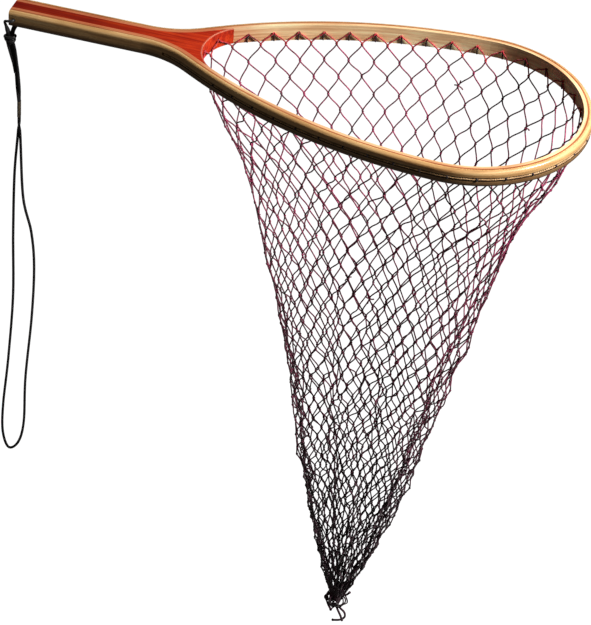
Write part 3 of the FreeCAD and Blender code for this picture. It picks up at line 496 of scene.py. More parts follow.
# The core's tints at the butt, halfway and at the crotch: painted shade, darkest at the butt, for the light's
# falloff along the handle.
CORE_TINTS = [
    (0.0, (0.60, 0.50, 0.05, 1.0)),
    (0.5, (0.85, 0.95, 0.15, 1.0)),
    (1.0, (1.25, 1.45, 1.0, 1.0)),
]


def core_regions(shader, colour, _across, height):
    """Core: darker at the butt, redder and paler towards the crotch as painted falloff of the light, worn
    pink at its lip.
    """
    x, y, _ = shader.xyz()
    # Painted shade: the core is darker towards the butt.
    shade = shader.range(x, 20 * MM, 190 * MM)
    colour = shader.mix(1.0, colour, shader.ramp(shade, CORE_TINTS), "MULTIPLY")
    inward = shader.minus(shader.distance(x, y, SCOOP_X, 0.0), SCOOP_RADIUS)
    wear = shader.noise(shader.position(), 180.0, 3.0, 0.65)
    inward = shader.plus(inward, shader.times(wear, 2.2 * MM))
    worn = shader.times(
        shader.range(inward, 2.6 * MM, 1.0 * MM),
        shader.range(height, HALF_THICK - 1.6 * MM, HALF_THICK - 0.5 * MM),
    )
    colour = shader.mix(shader.times(worn, 0.8), colour, linear((236, 150, 122)))
    chalky = shader.times(
        shader.range(inward, 1.6 * MM, 0.8 * MM),
        shader.range(y, -6.0 * MM, -20.0 * MM),
    )
    return shader.mix(shader.times(chalky, 0.6), colour, linear((188, 150, 160)))


ASH_COLOURS = ((176, 126, 74), (216, 170, 112), (234, 196, 140))
ASH = wood("ash", strip_coordinates, ASH_COLOURS, 0.5, regions=ash_regions)
BLUSH_COLOURS = ((176, 88, 52), (212, 122, 80), (228, 150, 106))
BLUSH = wood("blush_strip", strip_coordinates, BLUSH_COLOURS, 0.4, regions=inner_regions)
ACCENT = wood("accent_strip", strip_coordinates, ((140, 66, 32), (184, 104, 60), (206, 130, 84)), 0.4)
# The core's grain runs straight down the handle.
RED_COLOURS = ((128, 18, 5), (170, 34, 12), (200, 56, 24))
RED = wood("red_core", Shader.xyz, RED_COLOURS, 0.5, gloss=0.22, streak=420.0, regions=core_regions)
TWINE_COLOURS = ((52, 8, 28), (136, 14, 66), (186, 36, 104))
# Painted shade: the net's twine darkens towards the bottom of the bag.
TWINE = cord("net_twine", TWINE_COLOURS, 2.0, 3.4, fade=(-0.14, -0.52, linear((104, 88, 132))), side_shade=0.04)
RIM_TWINE = cord("rim_twine", ((96, 6, 20), (188, 22, 44), (216, 44, 66)), 2.0, 3.4)
# A near-black copy of the twine, as painted shade: for the turns in the groove and the ends below the holes.
SHADED_TWINE = cord("shaded_twine", ((14, 6, 10), (34, 8, 20), (66, 12, 34)), 2.0, 3.4)
LACING = cord("lacing", ((150, 112, 70), (196, 154, 104), (222, 186, 140)), 3.0, 2.4)
BLACKS = ((10, 10, 12), (20, 19, 22), (38, 34, 40))
ELASTIC = cord("elastic", BLACKS, 5.0, 3.0, braid=True, relief=0.12 * MM, sheen=0.15, roughness=0.5)
TAPE = cord("tape", ((58, 48, 30), (84, 70, 46), (110, 94, 64)), 9.0, 30.0, relief=0.1 * MM)

# ------ materials of the wooden pieces
for node, material in (
    ("outer_lamination", ASH),
    ("inner_lamination", BLUSH),
    ("accent_lamination", ACCENT),
    ("handle_core", RED),
):
    mesh = frame["nodes"][node].data
    mesh.materials.clear()
    mesh.materials.append(material)

# ------ lacing cord in the groove
LACING_RADIUS = 0.92 * MM
LACING_PITCH = 5.0 * MM
CORD_OFFSET = STRIPS - 0.5 * MM
LACING_LOW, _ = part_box("lacing_cord")


def arc_points(centre_x, centre_y, radius, angles):
    return [(centre_x + radius * math.cos(angle), centre_y + radius * math.sin(angle)) for angle in angles]


def outline_points(offset, start_x, step):
    """Points of the frame's outline at an offset, from start_x on the -Y side round to the +Y side."""
    start_angle = math.acos((start_x - LEG_LENGTH) / (FLARE_RADIUS - offset))
    flare = np.arange(math.pi / 2 - start_angle, FLARE_ANGLE, step / FLARE_RADIUS) - math.pi / 2
    half = arc_points(LEG_LENGTH, FLARE_Y, FLARE_RADIUS - offset, flare)
    for along in np.arange(0, FLARE_STRAIGHT, step):
        base_x = FLARE_END_X - offset * math.sin(FLARE_ANGLE) + along * math.cos(FLARE_ANGLE)
        base_y = FLARE_END_Y + offset * math.cos(FLARE_ANGLE) + along * math.sin(FLARE_ANGLE)
        half.append((base_x, base_y))
    side = np.arange(FLARE_ANGLE + math.pi / 2, JOIN_ANGLE, -step / SIDE_RADIUS)
    half += arc_points(SIDE_X, SIDE_Y, SIDE_RADIUS + offset, side)
    half += arc_points(END_X, 0.0, END_RADIUS + offset, np.arange(JOIN_ANGLE, 0, -step / END_RADIUS))
    half = np.array(half)
    whole = np.concatenate([half * [1, -1], [[END_X + END_RADIUS + offset, 0]], half[::-1]])
    return np.column_stack([whole, np.zeros(len(whole))])


def resample(points, step):
    """The same line with evenly spaced points."""
    lengths = np.concatenate([[0], np.cumsum(np.linalg.norm(np.diff(points, axis=0), axis=1))])
    wanted = np.linspace(0, lengths[-1], max(2, int(lengths[-1] / step)))
    return np.column_stack([np.interp(wanted, lengths, points[:, axis]) for axis in range(3)]), wanted


def twisted_pair(line, along, centre_radius, radius, pitch):
    """Two plies winding round a level line."""
    up = (0, 0, 1)
    tangent = unit(np.gradient(line, axis=0))
    across = unit(np.cross(tangent, up))
    over = np.cross(across, tangent)
    parts = []
    for phase in (0.0, math.pi):
        turn = 2 * np.pi * along / pitch + phase
        ply = line + centre_radius * (across * np.cos(turn)[:, None] + over * np.sin(turn)[:, None])
        parts.append(tubes(ply[None], radius, up, 6))
    return parts


groove_line, groove_along = resample(outline_points(CORD_OFFSET, LACING_LOW.x + 1.2 * MM, 2.0 * MM), 1.0 * MM)
plies = twisted_pair(groove_line, groove_along, LACING_RADIUS * 0.45, LACING_RADIUS * 0.62, LACING_PITCH)
lacing = make_piece("lacing", plies, LACING)
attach(lacing, "frame")
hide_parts("lacing_cord")

# ------ knots of the net, row by row
DRILL_PITCH = 26.2 * MM
N_SIDE_HOLES = 17
N_CROTCH_HOLES = 3
TWINE_RADIUS = 0.78 * MM
FIRST_DROP = HALF_THICK + 2.4 * MM
NECK_DROP = -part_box("net_tail")[0].z
BAG_DEPTH = 700.0 * MM
BAG_HALF_LENGTH = 189.0 * MM
BAG_CENTRE_X = 396.0 * MM
RIM_INSET = 2.4 * MM
FAR_END = 240.0 * MM
FAR_END_SAG = 5.0 * MM
TOP_BAR = 23.0
BOTTOM_BAR = 13.5
# The upright folds: where round the bag in radians, how wide, and how deep against the others.
FOLDS = (
    (4.35, 0.24, 1.0),
    (5.30, 0.20, 0.55),
    (3.40, 0.22, 0.75),
    (2.30, 0.26, 0.9),
    (1.30, 0.24, 0.7),
    (0.35, 0.22, 0.8),
)
FOLD_DEPTH = 0.30

hole_distances = [(index + 0.5) * DRILL_PITCH for index in range(N_SIDE_HOLES)]
hole_distances += [PERIMETER / 2 + (index - 1) * DRILL_PITCH for index in range(N_CROTCH_HOLES)]
hole_distances += [PERIMETER - (index + 0.5) * DRILL_PITCH for index in reversed(range(N_SIDE_HOLES))]
hole_distances = np.array(hole_distances)
N_COLUMNS = len(hole_distances)
between_holes = (hole_distances + np.roll(hole_distances, -1)) / 2
between_holes[-1] = PERIMETER
OUTLINE_STEPS = 360
outline_turns = np.arange(OUTLINE_STEPS) / OUTLINE_STEPS
outline_rim, outline_normal = rim_arrays(outline_turns * PERIMETER)


def fold_depth(drop, angle):
    """How far the netting falls inwards in soft upright folds, as a share of its radius."""
    share = drop / BAG_DEPTH
    depth = FOLD_DEPTH * smooth_step((share - 0.22) / 0.5)
    drift = 0.125 * math.sin(7.0 * share + 0.6)
    folds = np.zeros_like(angle)
    for centre, width, weight in FOLDS:
        gap = np.angle(np.exp(1j * (angle - centre - drift)))
        folds += weight * np.exp(-((gap / width) ** 2))
    return depth * folds


def bag_outline(drop):
    """The bag's outline at a depth, with its folds."""
    share = drop / BAG_DEPTH
    shrink = (1 - share) + 1.1 * share * (1 - share) * (share - 0.53)
    half_length = BAG_HALF_LENGTH * shrink
    half_width = half_length * (0.56 + 0.20 * share)
    taper = 0.6 * (1 - share) ** 3
    centre_x = BAG_CENTRE_X + (24 * share * (1 - share) - 4 * share) * MM
    angle = 2 * np.pi * outline_turns
    shrunk = 1 - fold_depth(drop, angle)
    egg_x = centre_x + half_length * shrunk * np.cos(angle)
    egg_y = half_width * shrunk * np.sin(angle) * (1 + taper * np.cos(angle))
    flat = outline_rim - RIM_INSET * outline_normal
    melt = smooth_step((drop - FIRST_DROP) / 0.1)
    x = flat[:, 0] + (egg_x - flat[:, 0]) * melt
    y = flat[:, 1] + (egg_y - flat[:, 1]) * melt
    return np.column_stack([x, y, np.full(len(x), -drop)])


def along_outline(outline, shares):
    """Points at given shares of a closed outline's length."""
    closed = np.concatenate([outline, outline[:1]])
    lengths = np.concatenate([[0], np.cumsum(np.linalg.norm(np.diff(closed, axis=0), axis=1))])
    wanted = (shares % 1.0) * lengths[-1]
    return np.column_stack([np.interp(wanted, lengths, closed[:, axis]) for axis in range(3)]), lengths[-1]


def bar_length(drop):
    """Length of one side of a mesh: the lower rows are knotted smaller."""
    return (TOP_BAR - (TOP_BAR - BOTTOM_BAR) * smooth_step((drop - 30 * MM) / (520 * MM))) * MM


knot_rows = []
row_bars = []
drop = FIRST_DROP
row = 1
while drop < NECK_DROP - 2 * MM:
    shares = (between_holes if row % 2 else hole_distances) / PERIMETER
    points, girth = along_outline(bag_outline(drop), shares)
    if row == 1:
        # Towards the far end, on the +Y side, the first knots are pulled along the hoop and sag.
        far_end = smooth_step((FAR_END - between_holes) / (0.5 * FAR_END))
        rim_points, rim_normals = rim_arrays(between_holes + 0.25 * DRILL_PITCH * far_end)
        points = rim_points - RIM_INSET * rim_normals
        points[:, 2] -= FIRST_DROP + FAR_END_SAG * far_end
    knot_rows.append(points)
    row_bars.append(bar_length(drop))
    half_mesh = girth / (2 * N_COLUMNS)
    drop += 0.96 * math.sqrt(max(bar_length(drop) ** 2 - half_mesh**2, (5 * MM) ** 2))
    row += 1
knots = np.array(knot_rows)
N_ROWS = len(knots)
row_bars = np.array(row_bars)
hung = knots.copy()


def lower_neighbours(index):
    """For each knot in a row, the column numbers of the two knots below it."""
    columns = np.arange(N_COLUMNS)
    if index % 2 == 0:
        return columns, (columns + 1) % N_COLUMNS
    return (columns - 1) % N_COLUMNS, columns


# How far knots stray from their even places: near the hoop, and how much more lower down.
STRAY = 0.7
SLACK_STRAY = 2.4
RELAX_ROUNDS = 60
SAG_STEP = 0.10 * MM
PULL = 0.95
UPPER_SHARE = 0.45


def relax(positions):
    """Settle the netting: taut bars pull their knots together while gravity draws the slack down."""
    depth = np.arange(N_ROWS) / N_ROWS
    uneven = rng.normal(0.0, 1.0, positions.shape)
    slackening = smooth_step(depth / 0.6) * (1 - smooth_step((depth - 0.86) / 0.14))
    reach = (STRAY + SLACK_STRAY * slackening)[:, None, None] * MM
    hold = 0.06 + 0.5 * smooth_step((depth[1:, None, None] - 0.88) / 0.12)
    anchor = positions + uneven * reach
    anchor[0] = positions[0]
    lengths = []
    for index in range(N_ROWS - 1):
        spread = rng.normal(1.0, 0.05, (2, N_COLUMNS))
        lengths.append(np.clip(spread, 0.84, 1.08) * row_bars[index])
    for _ in range(RELAX_ROUNDS):
        positions[1:] += (anchor[1:] - positions[1:]) * hold
        positions[1:, :, 2] -= SAG_STEP
        for index in range(N_ROWS - 1):
            for side, below in enumerate(lower_neighbours(index)):
                gap = positions[index + 1][below] - positions[index]
                length = np.linalg.norm(gap, axis=1)
                excess = np.maximum(0.0, length - lengths[index][side])
                pull = gap * (excess / np.maximum(length, 1e-9))[:, None]
                share = 0.0 if index == 0 else UPPER_SHARE
                positions[index] += pull * share
                positions[index + 1][below] -= pull * (PULL - share)
    return positions


knots = relax(knots)
knots[:, :, 2] = np.maximum(knots[:, :, 2], -(NECK_DROP + 1 * MM))


def row_tangents():
    """The upright direction of each knot: from the knots above it to the knots below it."""
    above, below = knots.copy(), knots.copy()
    for index in range(N_ROWS - 1):
        first, second = lower_neighbours(index)
        below[index] = (knots[index + 1][first] + knots[index + 1][second]) / 2
    for index in range(1, N_ROWS):
        first, second = lower_neighbours(index - 1)
        total = np.zeros((N_COLUMNS, 3))
        np.add.at(total, first, knots[index - 1])
        np.add.at(total, second, knots[index - 1])
        above[index] = total / 2
    above[0] = knots[0] + [0, 0, 10 * MM]
    return unit(below - above)


tangents = row_tangents()
row_centres = hung.mean(axis=1)
outward = knots - row_centres[:, None]
outward[:, :, 2] = 0.0
outward = unit(outward)
KNOT_HALF = 1.5 * MM
BAR_POINTS = 9
BAR_WOBBLE = 0.16 * MM
MOST_BEND = 7 * MM


def bars_below(index):
    """Curves of the two bars hanging from every knot of a row."""
    curves, references = [], []
    for below in lower_neighbours(index):
        start, end = knots[index], knots[index + 1][below]
        down_start, down_end = tangents[index], tangents[index + 1][below]
        start = start + down_start * KNOT_HALF * 0.8
        end = end - down_end * KNOT_HALF * 0.8
        gap = end - start
        straight = np.linalg.norm(gap, axis=1, keepdims=True)
        toward = gap / straight
        slack = np.sqrt(np.maximum(0.0, (row_bars[index] * 0.98) ** 2 - (straight + 3 * MM) ** 2))
        bend = np.minimum(slack, MOST_BEND) * rng.uniform(0.1, 0.75, straight.shape)
        sway = outward[index] * rng.normal(0.2, 0.8, straight.shape) + [0, 0, -0.7]
        start_tangent = unit(down_start * 0.38 + toward * 0.9) * straight * 1.02
        end_tangent = unit(down_end * 0.38 + toward * 0.9) * straight * 1.02
        curve = hermite(start, end, start_tangent, end_tangent, BAR_POINTS)
        t = np.linspace(0, 1, BAR_POINTS)[None, :, None]
        curve = curve + (4 * t * (1 - t)) * (unit(sway) * bend)[:, None] * 0.6
        wobble = rng.normal(0.0, BAR_WOBBLE, (N_COLUMNS, 1, 3))
        curve = curve + np.sin(2 * np.pi * t) * wobble
        curves.append(curve)
        references.append(np.repeat(outward[index][:, None], BAR_POINTS, axis=1))
    return curves, references


def knot_coils(index, scale=1.0):
    """A small wrapped knot at every crossing of a row."""
    count = 11
    t = np.linspace(0, 1, count)
    turn = 2 * np.pi * (1.6 * t[None] + rng.uniform(0, 1, (N_COLUMNS, 1)))
    axis = tangents[index]
    side = unit(np.cross(axis, outward[index]))
    front = np.cross(side, axis)
    spread = (0.72 + 0.12 * np.sin(np.pi * t)) * MM * scale
    rise = (2 * t - 1) * KNOT_HALF * 0.75
    curve = (
        knots[index][:, None]
        + side[:, None] * (np.cos(turn) * spread)[:, :, None]
        + front[:, None] * (np.sin(turn) * spread)[:, :, None]
        + axis[:, None] * rise[None, :, None]
    )
    reference = np.repeat(axis[:, None], count, axis=1)
    return curve, reference


def net_part(first_row, last_row):
    """Netting from one row of knots down to another; the top row's own knots belong to the part above."""
    parts = []
    for index in range(first_row, last_row):
        for side, (curves, references) in enumerate(zip(*bars_below(index))):
            # The second bar from each knot is marked for painted shade and drawn a little darker.
            parts.append(tubes(curves, TWINE_RADIUS, references, dye_and_shade=side))
        curves, references = knot_coils(index + 1)
        parts.append(tubes(curves, TWINE_RADIUS * 0.95, references))
    return parts


row_drops = -hung[:, 0, 2]
first_cut = int(np.argmin(abs(row_drops - 262 * MM)))
second_cut = int(np.argmin(abs(row_drops - 470 * MM)))
# Each part of the net: its rows, the CAD nodes it stands for, its two bodies, and the drops between which it
# passes from the first body to the second.
NET_PARTS = {
    "upper": (0, first_cut, ("net_collar",), ("frame", "bag_belly"), (0.020, 0.250)),
    "middle": (first_cut, second_cut, ("net_belly", "net_foot"), ("bag_belly", "bag_foot"), (0.290, 0.462)),
    "lower": (second_cut, N_ROWS - 1, ("net_tail",), ("bag_foot", "bag_tail"), (0.482, 0.682)),
}


def hang(piece):
    """Bake the placement of a piece of netting into its mesh."""
    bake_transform(piece)


for part, (first_row, last_row, nodes, _, _) in NET_PARTS.items():
    netting = make_piece(f"net_{part}", net_part(first_row, last_row), TWINE)
    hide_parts(*nodes)
    hang(netting)

# ------ bights through the frame's holes
LOOP_RADIUS = 0.42 * MM
LOOP_SHIFT = 0.45 * MM
HOLE_REACH = 5.5 * MM
STUB_LEAN = 1.2
crotch_columns = range(N_SIDE_HOLES, N_SIDE_HOLES + N_CROTCH_HOLES)
hole_points, hole_normals = rim_arrays(hole_distances)
UPWARDS = np.array([0, 0, 1.0])


def sideways(normal):
    """The level direction along the rim."""
    return np.array([-normal[1], normal[0], 0.0])


def bight_leg(column, knot, sign):
    """One leg of a bight: out of the hole and slanting down the inner face to a knot."""
    normal, hole = hole_normals[column], hole_points[column]
    lateral = sideways(normal)
    if np.dot(knot - hole, lateral) < 0:
        lateral = -lateral
    reach = np.dot(knot - hole, lateral)
    clear = -normal * (TWINE_RADIUS + 0.25 * MM)
    beside = lateral * 0.6 * MM
    deep = hole + normal * HOLE_REACH + beside
    if column in crotch_columns:
        deep = deep - normal * 2.0 * MM - UPWARDS * 4.5 * MM
    points = [
        deep,
        hole + clear + beside + UPWARDS * 0.55 * MM,
        hole + clear * 1.3 + lateral * reach * 0.22 - UPWARDS * HALF_THICK * 0.20,
        hole + clear * 1.8 + lateral * reach * 0.62 - UPWARDS * HALF_THICK * 0.62,
        knot,
    ]
    return tubes(through(points, 24), TWINE_RADIUS, normal + sign * lateral * 0.01 + UPWARDS * 0.3, 6)


def lacing_loops(column):
    """The mesh's two turns round the lacing cord in the groove."""
    normal = hole_normals[column]
    lateral = sideways(normal)
    angle = np.linspace(-0.85 * np.pi, 0.85 * np.pi, 13)[:, None]
    around = np.cos(angle) * normal + np.sin(angle) * UPWARDS
    loop = hole_points[column] + normal * CORD_OFFSET + (LACING_RADIUS + LOOP_RADIUS) * around
    turns = [loop - lateral * LOOP_SHIFT, loop + lateral * LOOP_SHIFT]
    return [tubes(turn[None], LOOP_RADIUS, lateral, 6) for turn in turns]


def bight_end(column):
    """A short end of twine hanging down the inner face from a hole; drawn near-black, it also stands in for
    the twine's shadow on the wood below the hole.
    """
    normal = hole_normals[column]
    lateral = sideways(normal)
    clear = hole_points[column] - normal * (TWINE_RADIUS + 0.2 * MM)
    lean = lateral * rng.uniform(-STUB_LEAN, STUB_LEAN) * MM
    path = [clear + normal * 3.0 * MM, clear]
    path += [clear + lean - UPWARDS * HALF_THICK * share for share in (0.45, 0.95)]
    return tubes(through(path, 15), TWINE_RADIUS, normal + lateral * 0.3, 6)


bight_parts = []
stub_parts = []
for column in range(N_COLUMNS):
    for sign, knot in ((-1, knots[0][column - 1]), (1, knots[0][column])):
        bight_parts.append(bight_leg(column, knot + UPWARDS * KNOT_HALF * 0.8, sign))
    if column not in crotch_columns:
        stub_parts += [*lacing_loops(column), bight_end(column)]
coils, references = knot_coils(0, 1.05)
bight_parts.append(tubes(coils, TWINE_RADIUS, references))
bights = make_piece("rim_bights", bight_parts, RIM_TWINE)
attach(bights, "frame")
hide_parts("mesh_bights")
# The groove turns and hole ends are drawn near-black: painted shade in the groove, and a stand-in for the
# twine's shadow below each hole.
stubs = make_piece("bight_ends", stub_parts, SHADED_TWINE)
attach(stubs, "frame")

# ------ tail tie and loose ends
TIE_CORD = 0.9 * MM
TIE_HEIGHT = 6.2 * MM
tie_low, tie_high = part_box("tail_tie")
tie_centre = (tie_low + tie_high) / 2
tie_parts = []
wrap = np.linspace(0, 1, 90)
tie_radius = (tie_high.x - tie_low.x) / 2 - TIE_CORD
for lean, turns, phase in ((0.10, 3.6, 0.0), (-0.14, 2.3, 2.0)):
    angle = 2 * np.pi * turns * wrap + phase
    swell = tie_radius * (1 + 0.05 * np.sin(3 * angle))
    heights = tie_centre.z + (wrap - 0.5) * TIE_HEIGHT + lean * swell * np.cos(angle)
    coil = ring_points(tie_centre, swell, swell, angle, heights)
    tie_parts.append(tubes(coil[None], TIE_CORD, (0, 0, 1), 8))
tie = make_piece("tail_wrap", tie_parts, TWINE)
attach(tie, "bag_tail")
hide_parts("tail_tie")

N_BUNCH_LOOPS = 18
BUNCH_CORD = 0.85 * MM
END_CORD = 1.3 * MM
LUMP_RADIUS = 0.6 * MM
TAIL_REFERENCE = (0.3, 1, 0.2)
# The loose ends, in millimetres from the middle of the tie; the first is hooked.
END_PATHS = (
    ((1, 1, -13), (5, 2, -19), (10, 3, -25), (11, 2, -31), (6, 1, -36), (-2, 0, -38)),
    ((0, -1, -13), (3, -1, -20), (7, -2, -27), (9, -2, -33)),
    ((-2, 2, -14), (-6, 4, -17), (-9, 4, -20), (-6, 2, -25)),
    ((-2, -2, 2), (-9, -3, 3), (-13, -3, -2), (-11, -2, -7)),
    ((4, -2, 6), (11, -3, 8), (15, -3, 13)),
)
root = np.array(tie_centre)


def bunch_loop():
    """One slack loop of twine bulging out round the tie and tucked back under it."""
    swing = rng.uniform(0, 2 * np.pi)
    aim = np.array([np.cos(swing), 0.8 * np.sin(swing), 0.0])
    aside = np.array([-aim[1], aim[0], 0.0]) * rng.uniform(-4, 4) * MM
    out = rng.uniform(7, 13) * MM
    top = root + aim * 5 * MM + [0, 0, rng.uniform(6, 16) * MM]
    side = root + aim * out + aside + [0, 0, rng.uniform(-6, 4) * MM]
    under = root + aim * out * 0.7 - aside + [0, 0, rng.uniform(-14, -8) * MM]
    end = root + [0, 0, -15 * MM]
    return tubes(through([top, side, under, end], 24), BUNCH_CORD, TAIL_REFERENCE, 5)


def gather_strand(knot_point):
    """The twine from a knot of the last row, drawn in under the tie."""
    inward = root + (knot_point - root) * [0.45, 0.45, 0.0] - [0, 0, 2 * MM]
    path = [knot_point, (knot_point + inward) / 2, inward]
    return tubes(through(path, 9), TWINE_RADIUS, TAIL_REFERENCE, 5)


def loose_end(path):
    """A loose end and the small knot that closes it."""
    points = offsets_from(root, *path)
    angle = np.linspace(0, 3 * np.pi, 16)
    curl = np.column_stack([np.cos(angle), np.sin(angle), np.linspace(-0.8, 0.8, 16)])
    lump = points[-1] + LUMP_RADIUS * curl
    return [
        tubes(through(points, 24), END_CORD, TAIL_REFERENCE, 6),
        tubes(lump[None], 1.1 * MM, (0, 0, 1), 6),
    ]


end_parts = [bunch_loop() for _ in range(N_BUNCH_LOOPS)]
end_parts += [gather_strand(knot_point) for knot_point in knots[-1]]
for path in END_PATHS:
    end_parts += loose_end(path)
ends = make_piece("tail_strands", end_parts, TWINE)
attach(ends, "bag_tail")
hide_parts("tail_ends")

# ------ mended knots with cut ends
MEND_REACH = 6.5 * MM
# The mended knots of each part of the net: row, column and size.
MENDED = {
    "upper": ((2, 7, 1.0), (3, 4, 0.8), (1, 34, 0.9), (10, 27, 0.9)),
    "middle": ((22, 25, 1.0), (15, 12, 0.8)),
}


def cut_ends(row, column, size):
    """Three cut ends of twine standing out from a knot."""
    centre = knots[row][column]
    upright = tangents[row][column]
    out = outward[row][column]
    side = unit(np.cross(upright, out))
    parts = []
    for number in range(3):
        spin = 2.1 * number + 0.7 * row
        aim = unit(side * math.cos(spin) + UPWARDS * math.sin(spin) + out * 0.4)
        middle = centre + aim * 3 * MM * size + out * 1.0 * MM
        path = [centre, middle, centre + aim * MEND_REACH * size]
        parts.append(tubes(through(path, 8), TWINE_RADIUS, upright, 5))
    return parts


for part, mends in MENDED.items():
    parts = [end for mend in mends for end in cut_ends(*mend)]
    hang(make_piece(f"mended_{part}", parts, TWINE))

# ------ lanyard
knot_low, knot_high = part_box("lanyard_knot")
strand_low, strand_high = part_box("lanyard_strands")
band_low, band_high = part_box("lanyard_whipping")
_, loop_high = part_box("lanyard_loop")
joints = {joint["name"]: joint for joint in frame["record"]["behaviour"]["joints"]}
HOLE_X = joints["lanyard_swing"]["pos_m"][0]
SPLIT_X, LANYARD_Y, SPLIT_Z = joints["loop_fold"]["pos_m"]
LANYARD_RADIUS = (strand_high.y - strand_low.y) / 2
STRAND_OFFSET = (strand_high.x - SPLIT_X) - LANYARD_RADIUS
HALF_GRIP = HANDLE_GAP / 2 + STRIPS
knot_centre = (np.array(knot_low) + np.array(knot_high)) / 2
KNOT_TOP = knot_high.z + 0.6 * MM

KNOT_HEAD = np.array([knot_centre[0], LANYARD_Y, KNOT_TOP])
HOLE = np.array([HOLE_X, 0.0, 0.0])
NEAR_FACE = np.array([HOLE_X, -HALF_GRIP, 0.0])
FAR_FACE = np.array([HOLE_X, HALF_GRIP, 0.0])
# From the knot up the near side, through the handle, and down its far side back to the knot.
neck_path = offsets_from(KNOT_HEAD, (-1.7, 0, -2.0), (-1.7, -1.6, 3.6))
neck_path += offsets_from(NEAR_FACE, (-7.1, -1.7, -8.4), (-8.7, -2.2, -2.6), (-5.6, -3.0, -0.9))
neck_path += offsets_from(NEAR_FACE, (-1.8, -2.8, -0.3), (0, -0.4, 0))
neck_path += [NEAR_FACE * [1, 0.55, 1], HOLE, FAR_FACE * [1, 0.55, 1]]
neck_path += offsets_from(FAR_FACE, (0, 0.6, -0.2), (0, 3.3, -3.6), (-1.0, 2.4, -10.0), (-3.0, -5.0, -16.0))
neck_path += offsets_from(HOLE, (-4.4, -0.5, -17.6))
neck_path += offsets_from(KNOT_HEAD, (1.3, 4.6, 1.2), (1.7, 0, -2.0))
neck_line = through(neck_path, 190)
neck_radius = LANYARD_RADIUS * (1 + 0.75 * smooth_step((-4 * MM - neck_line[0, :, 2]) / (10 * MM)))
neck_cord = tubes(neck_line, neck_radius[None], (0.9, 0.2, 0.4), 10)
neck = make_piece("lanyard_bridle", [neck_cord], ELASTIC)
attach(neck, "lanyard_top")
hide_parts("lanyard_neck")

knot_parts = []
for level, radius, lean, phase in ((2.7, 5.2, 0.16, 0.4), (-0.2, 4.5, -0.30, 1.0), (-2.9, 3.3, 0.28, 2.2)):
    angle = np.linspace(0, 2 * np.pi * 1.08, 40) + phase
    heights = knot_centre[2] + (level + lean * radius * np.cos(angle + phase)) * MM
    ring = ring_points(knot_centre, radius * MM * 1.05, radius * MM * 0.85, angle, heights)
    knot_parts.append(tubes(ring[None], LANYARD_RADIUS * 1.08, (0, 0, 1), 10))
core_path = offsets_from((knot_centre[0], LANYARD_Y, knot_high.z), (0.8, 1.0, -0.5))
core_path += [knot_centre]
core_path += offsets_from((knot_centre[0], LANYARD_Y, knot_low.z), (-0.4, -0.6, -1.0))
knot_parts.append(tubes(through(core_path, 16), LANYARD_RADIUS * 2.0, (1, 0, 0), 12))
knot = make_piece("lanyard_hitch", knot_parts, ELASTIC)
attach(knot, "lanyard_top")
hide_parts("lanyard_knot")

# The pair slants from the knot to a bend, then hangs plumb. The strands turn until one is behind the other,
# and above the split they turn on until they are side by side.
BEND_Z = -93.0 * MM
TURN_Z, TURN_LENGTH = -68 * MM, 36 * MM
BACK_Z, BACK_LENGTH = -124 * MM, 17 * MM
PAIR_OFFSET = STRAND_OFFSET * 0.78
PAIR_REFERENCE = (0, 1, 0.001)
slant = SPLIT_X - knot_centre[0]
pair_path = [
    (knot_centre[0], LANYARD_Y, knot_low.z + 3 * MM),
    (knot_centre[0] + 0.34 * slant, LANYARD_Y, -40 * MM),
    (knot_centre[0] + 0.68 * slant, LANYARD_Y, -58 * MM),
    (SPLIT_X - 1.2 * MM, LANYARD_Y, BEND_Z + 12 * MM),
    (SPLIT_X, LANYARD_Y, BEND_Z - 12 * MM),
    (SPLIT_X, LANYARD_Y, SPLIT_Z - 0.6 * MM),
]
pair_line, _ = resample(through(pair_path, 120)[0], 1.5 * MM)
pair_z = pair_line[:, 2]
first_turn = smooth_step((TURN_Z - pair_z) / TURN_LENGTH)
second_turn = smooth_step((BACK_Z - pair_z) / BACK_LENGTH)
strand_parts = []
for phase in (0.0, math.pi):
    turn = phase + 0.5 * np.pi * (first_turn + second_turn)
    ply = pair_line + PAIR_OFFSET * np.column_stack([np.cos(turn), np.sin(turn), np.zeros(len(turn))])
    strand_parts.append(tubes(ply[None], LANYARD_RADIUS, PAIR_REFERENCE, 10))
# The knot's two free tails lie along the top of the pair.
TAIL_REACH = 3.5
for side, end_z in ((-1, -66 * MM), (1, -88 * MM)):
    kept = pair_z > end_z
    tail_line = pair_line[kept].copy()
    fade = (tail_line[:, 2] - end_z) / (knot_low.z - end_z)
    tail_line[:, 0] += side * (TAIL_REACH - 1.8 * smooth_step(1.4 * (1 - fade))) * MM
    tail_line[:, 1] -= 1.5 * MM * np.sin(np.pi * np.clip(fade, 0, 1)) + 0.8 * MM
    strand_parts.append(tubes(tail_line[None], LANYARD_RADIUS * 0.95, PAIR_REFERENCE, 10))
strands = make_piece("lanyard_pair", strand_parts, ELASTIC)
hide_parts("lanyard_strands")
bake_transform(strands)

BAND_TURNS = 30
BAND_CORD = 0.35 * MM
BAND_CLEARANCE = 0.1 * MM
winding_turns = np.linspace(0, 2 * np.pi * BAND_TURNS, 30 * BAND_TURNS)
band_half_wide = PAIR_OFFSET + LANYARD_RADIUS + BAND_CLEARANCE
band_half_narrow = LANYARD_RADIUS + BAND_CLEARANCE
winding_heights = np.linspace(band_high.z - 0.4 * MM, band_low.z + 0.4 * MM, 30 * BAND_TURNS)
split_axis = (SPLIT_X, LANYARD_Y)
winding = ring_points(split_axis, band_half_narrow, band_half_wide, winding_turns, winding_heights)
band = make_piece("lanyard_band", [tubes(winding[None], BAND_CORD, (0, 0, 1), 8)], TAPE)
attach(band, "lanyard_drop")
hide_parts("lanyard_whipping")

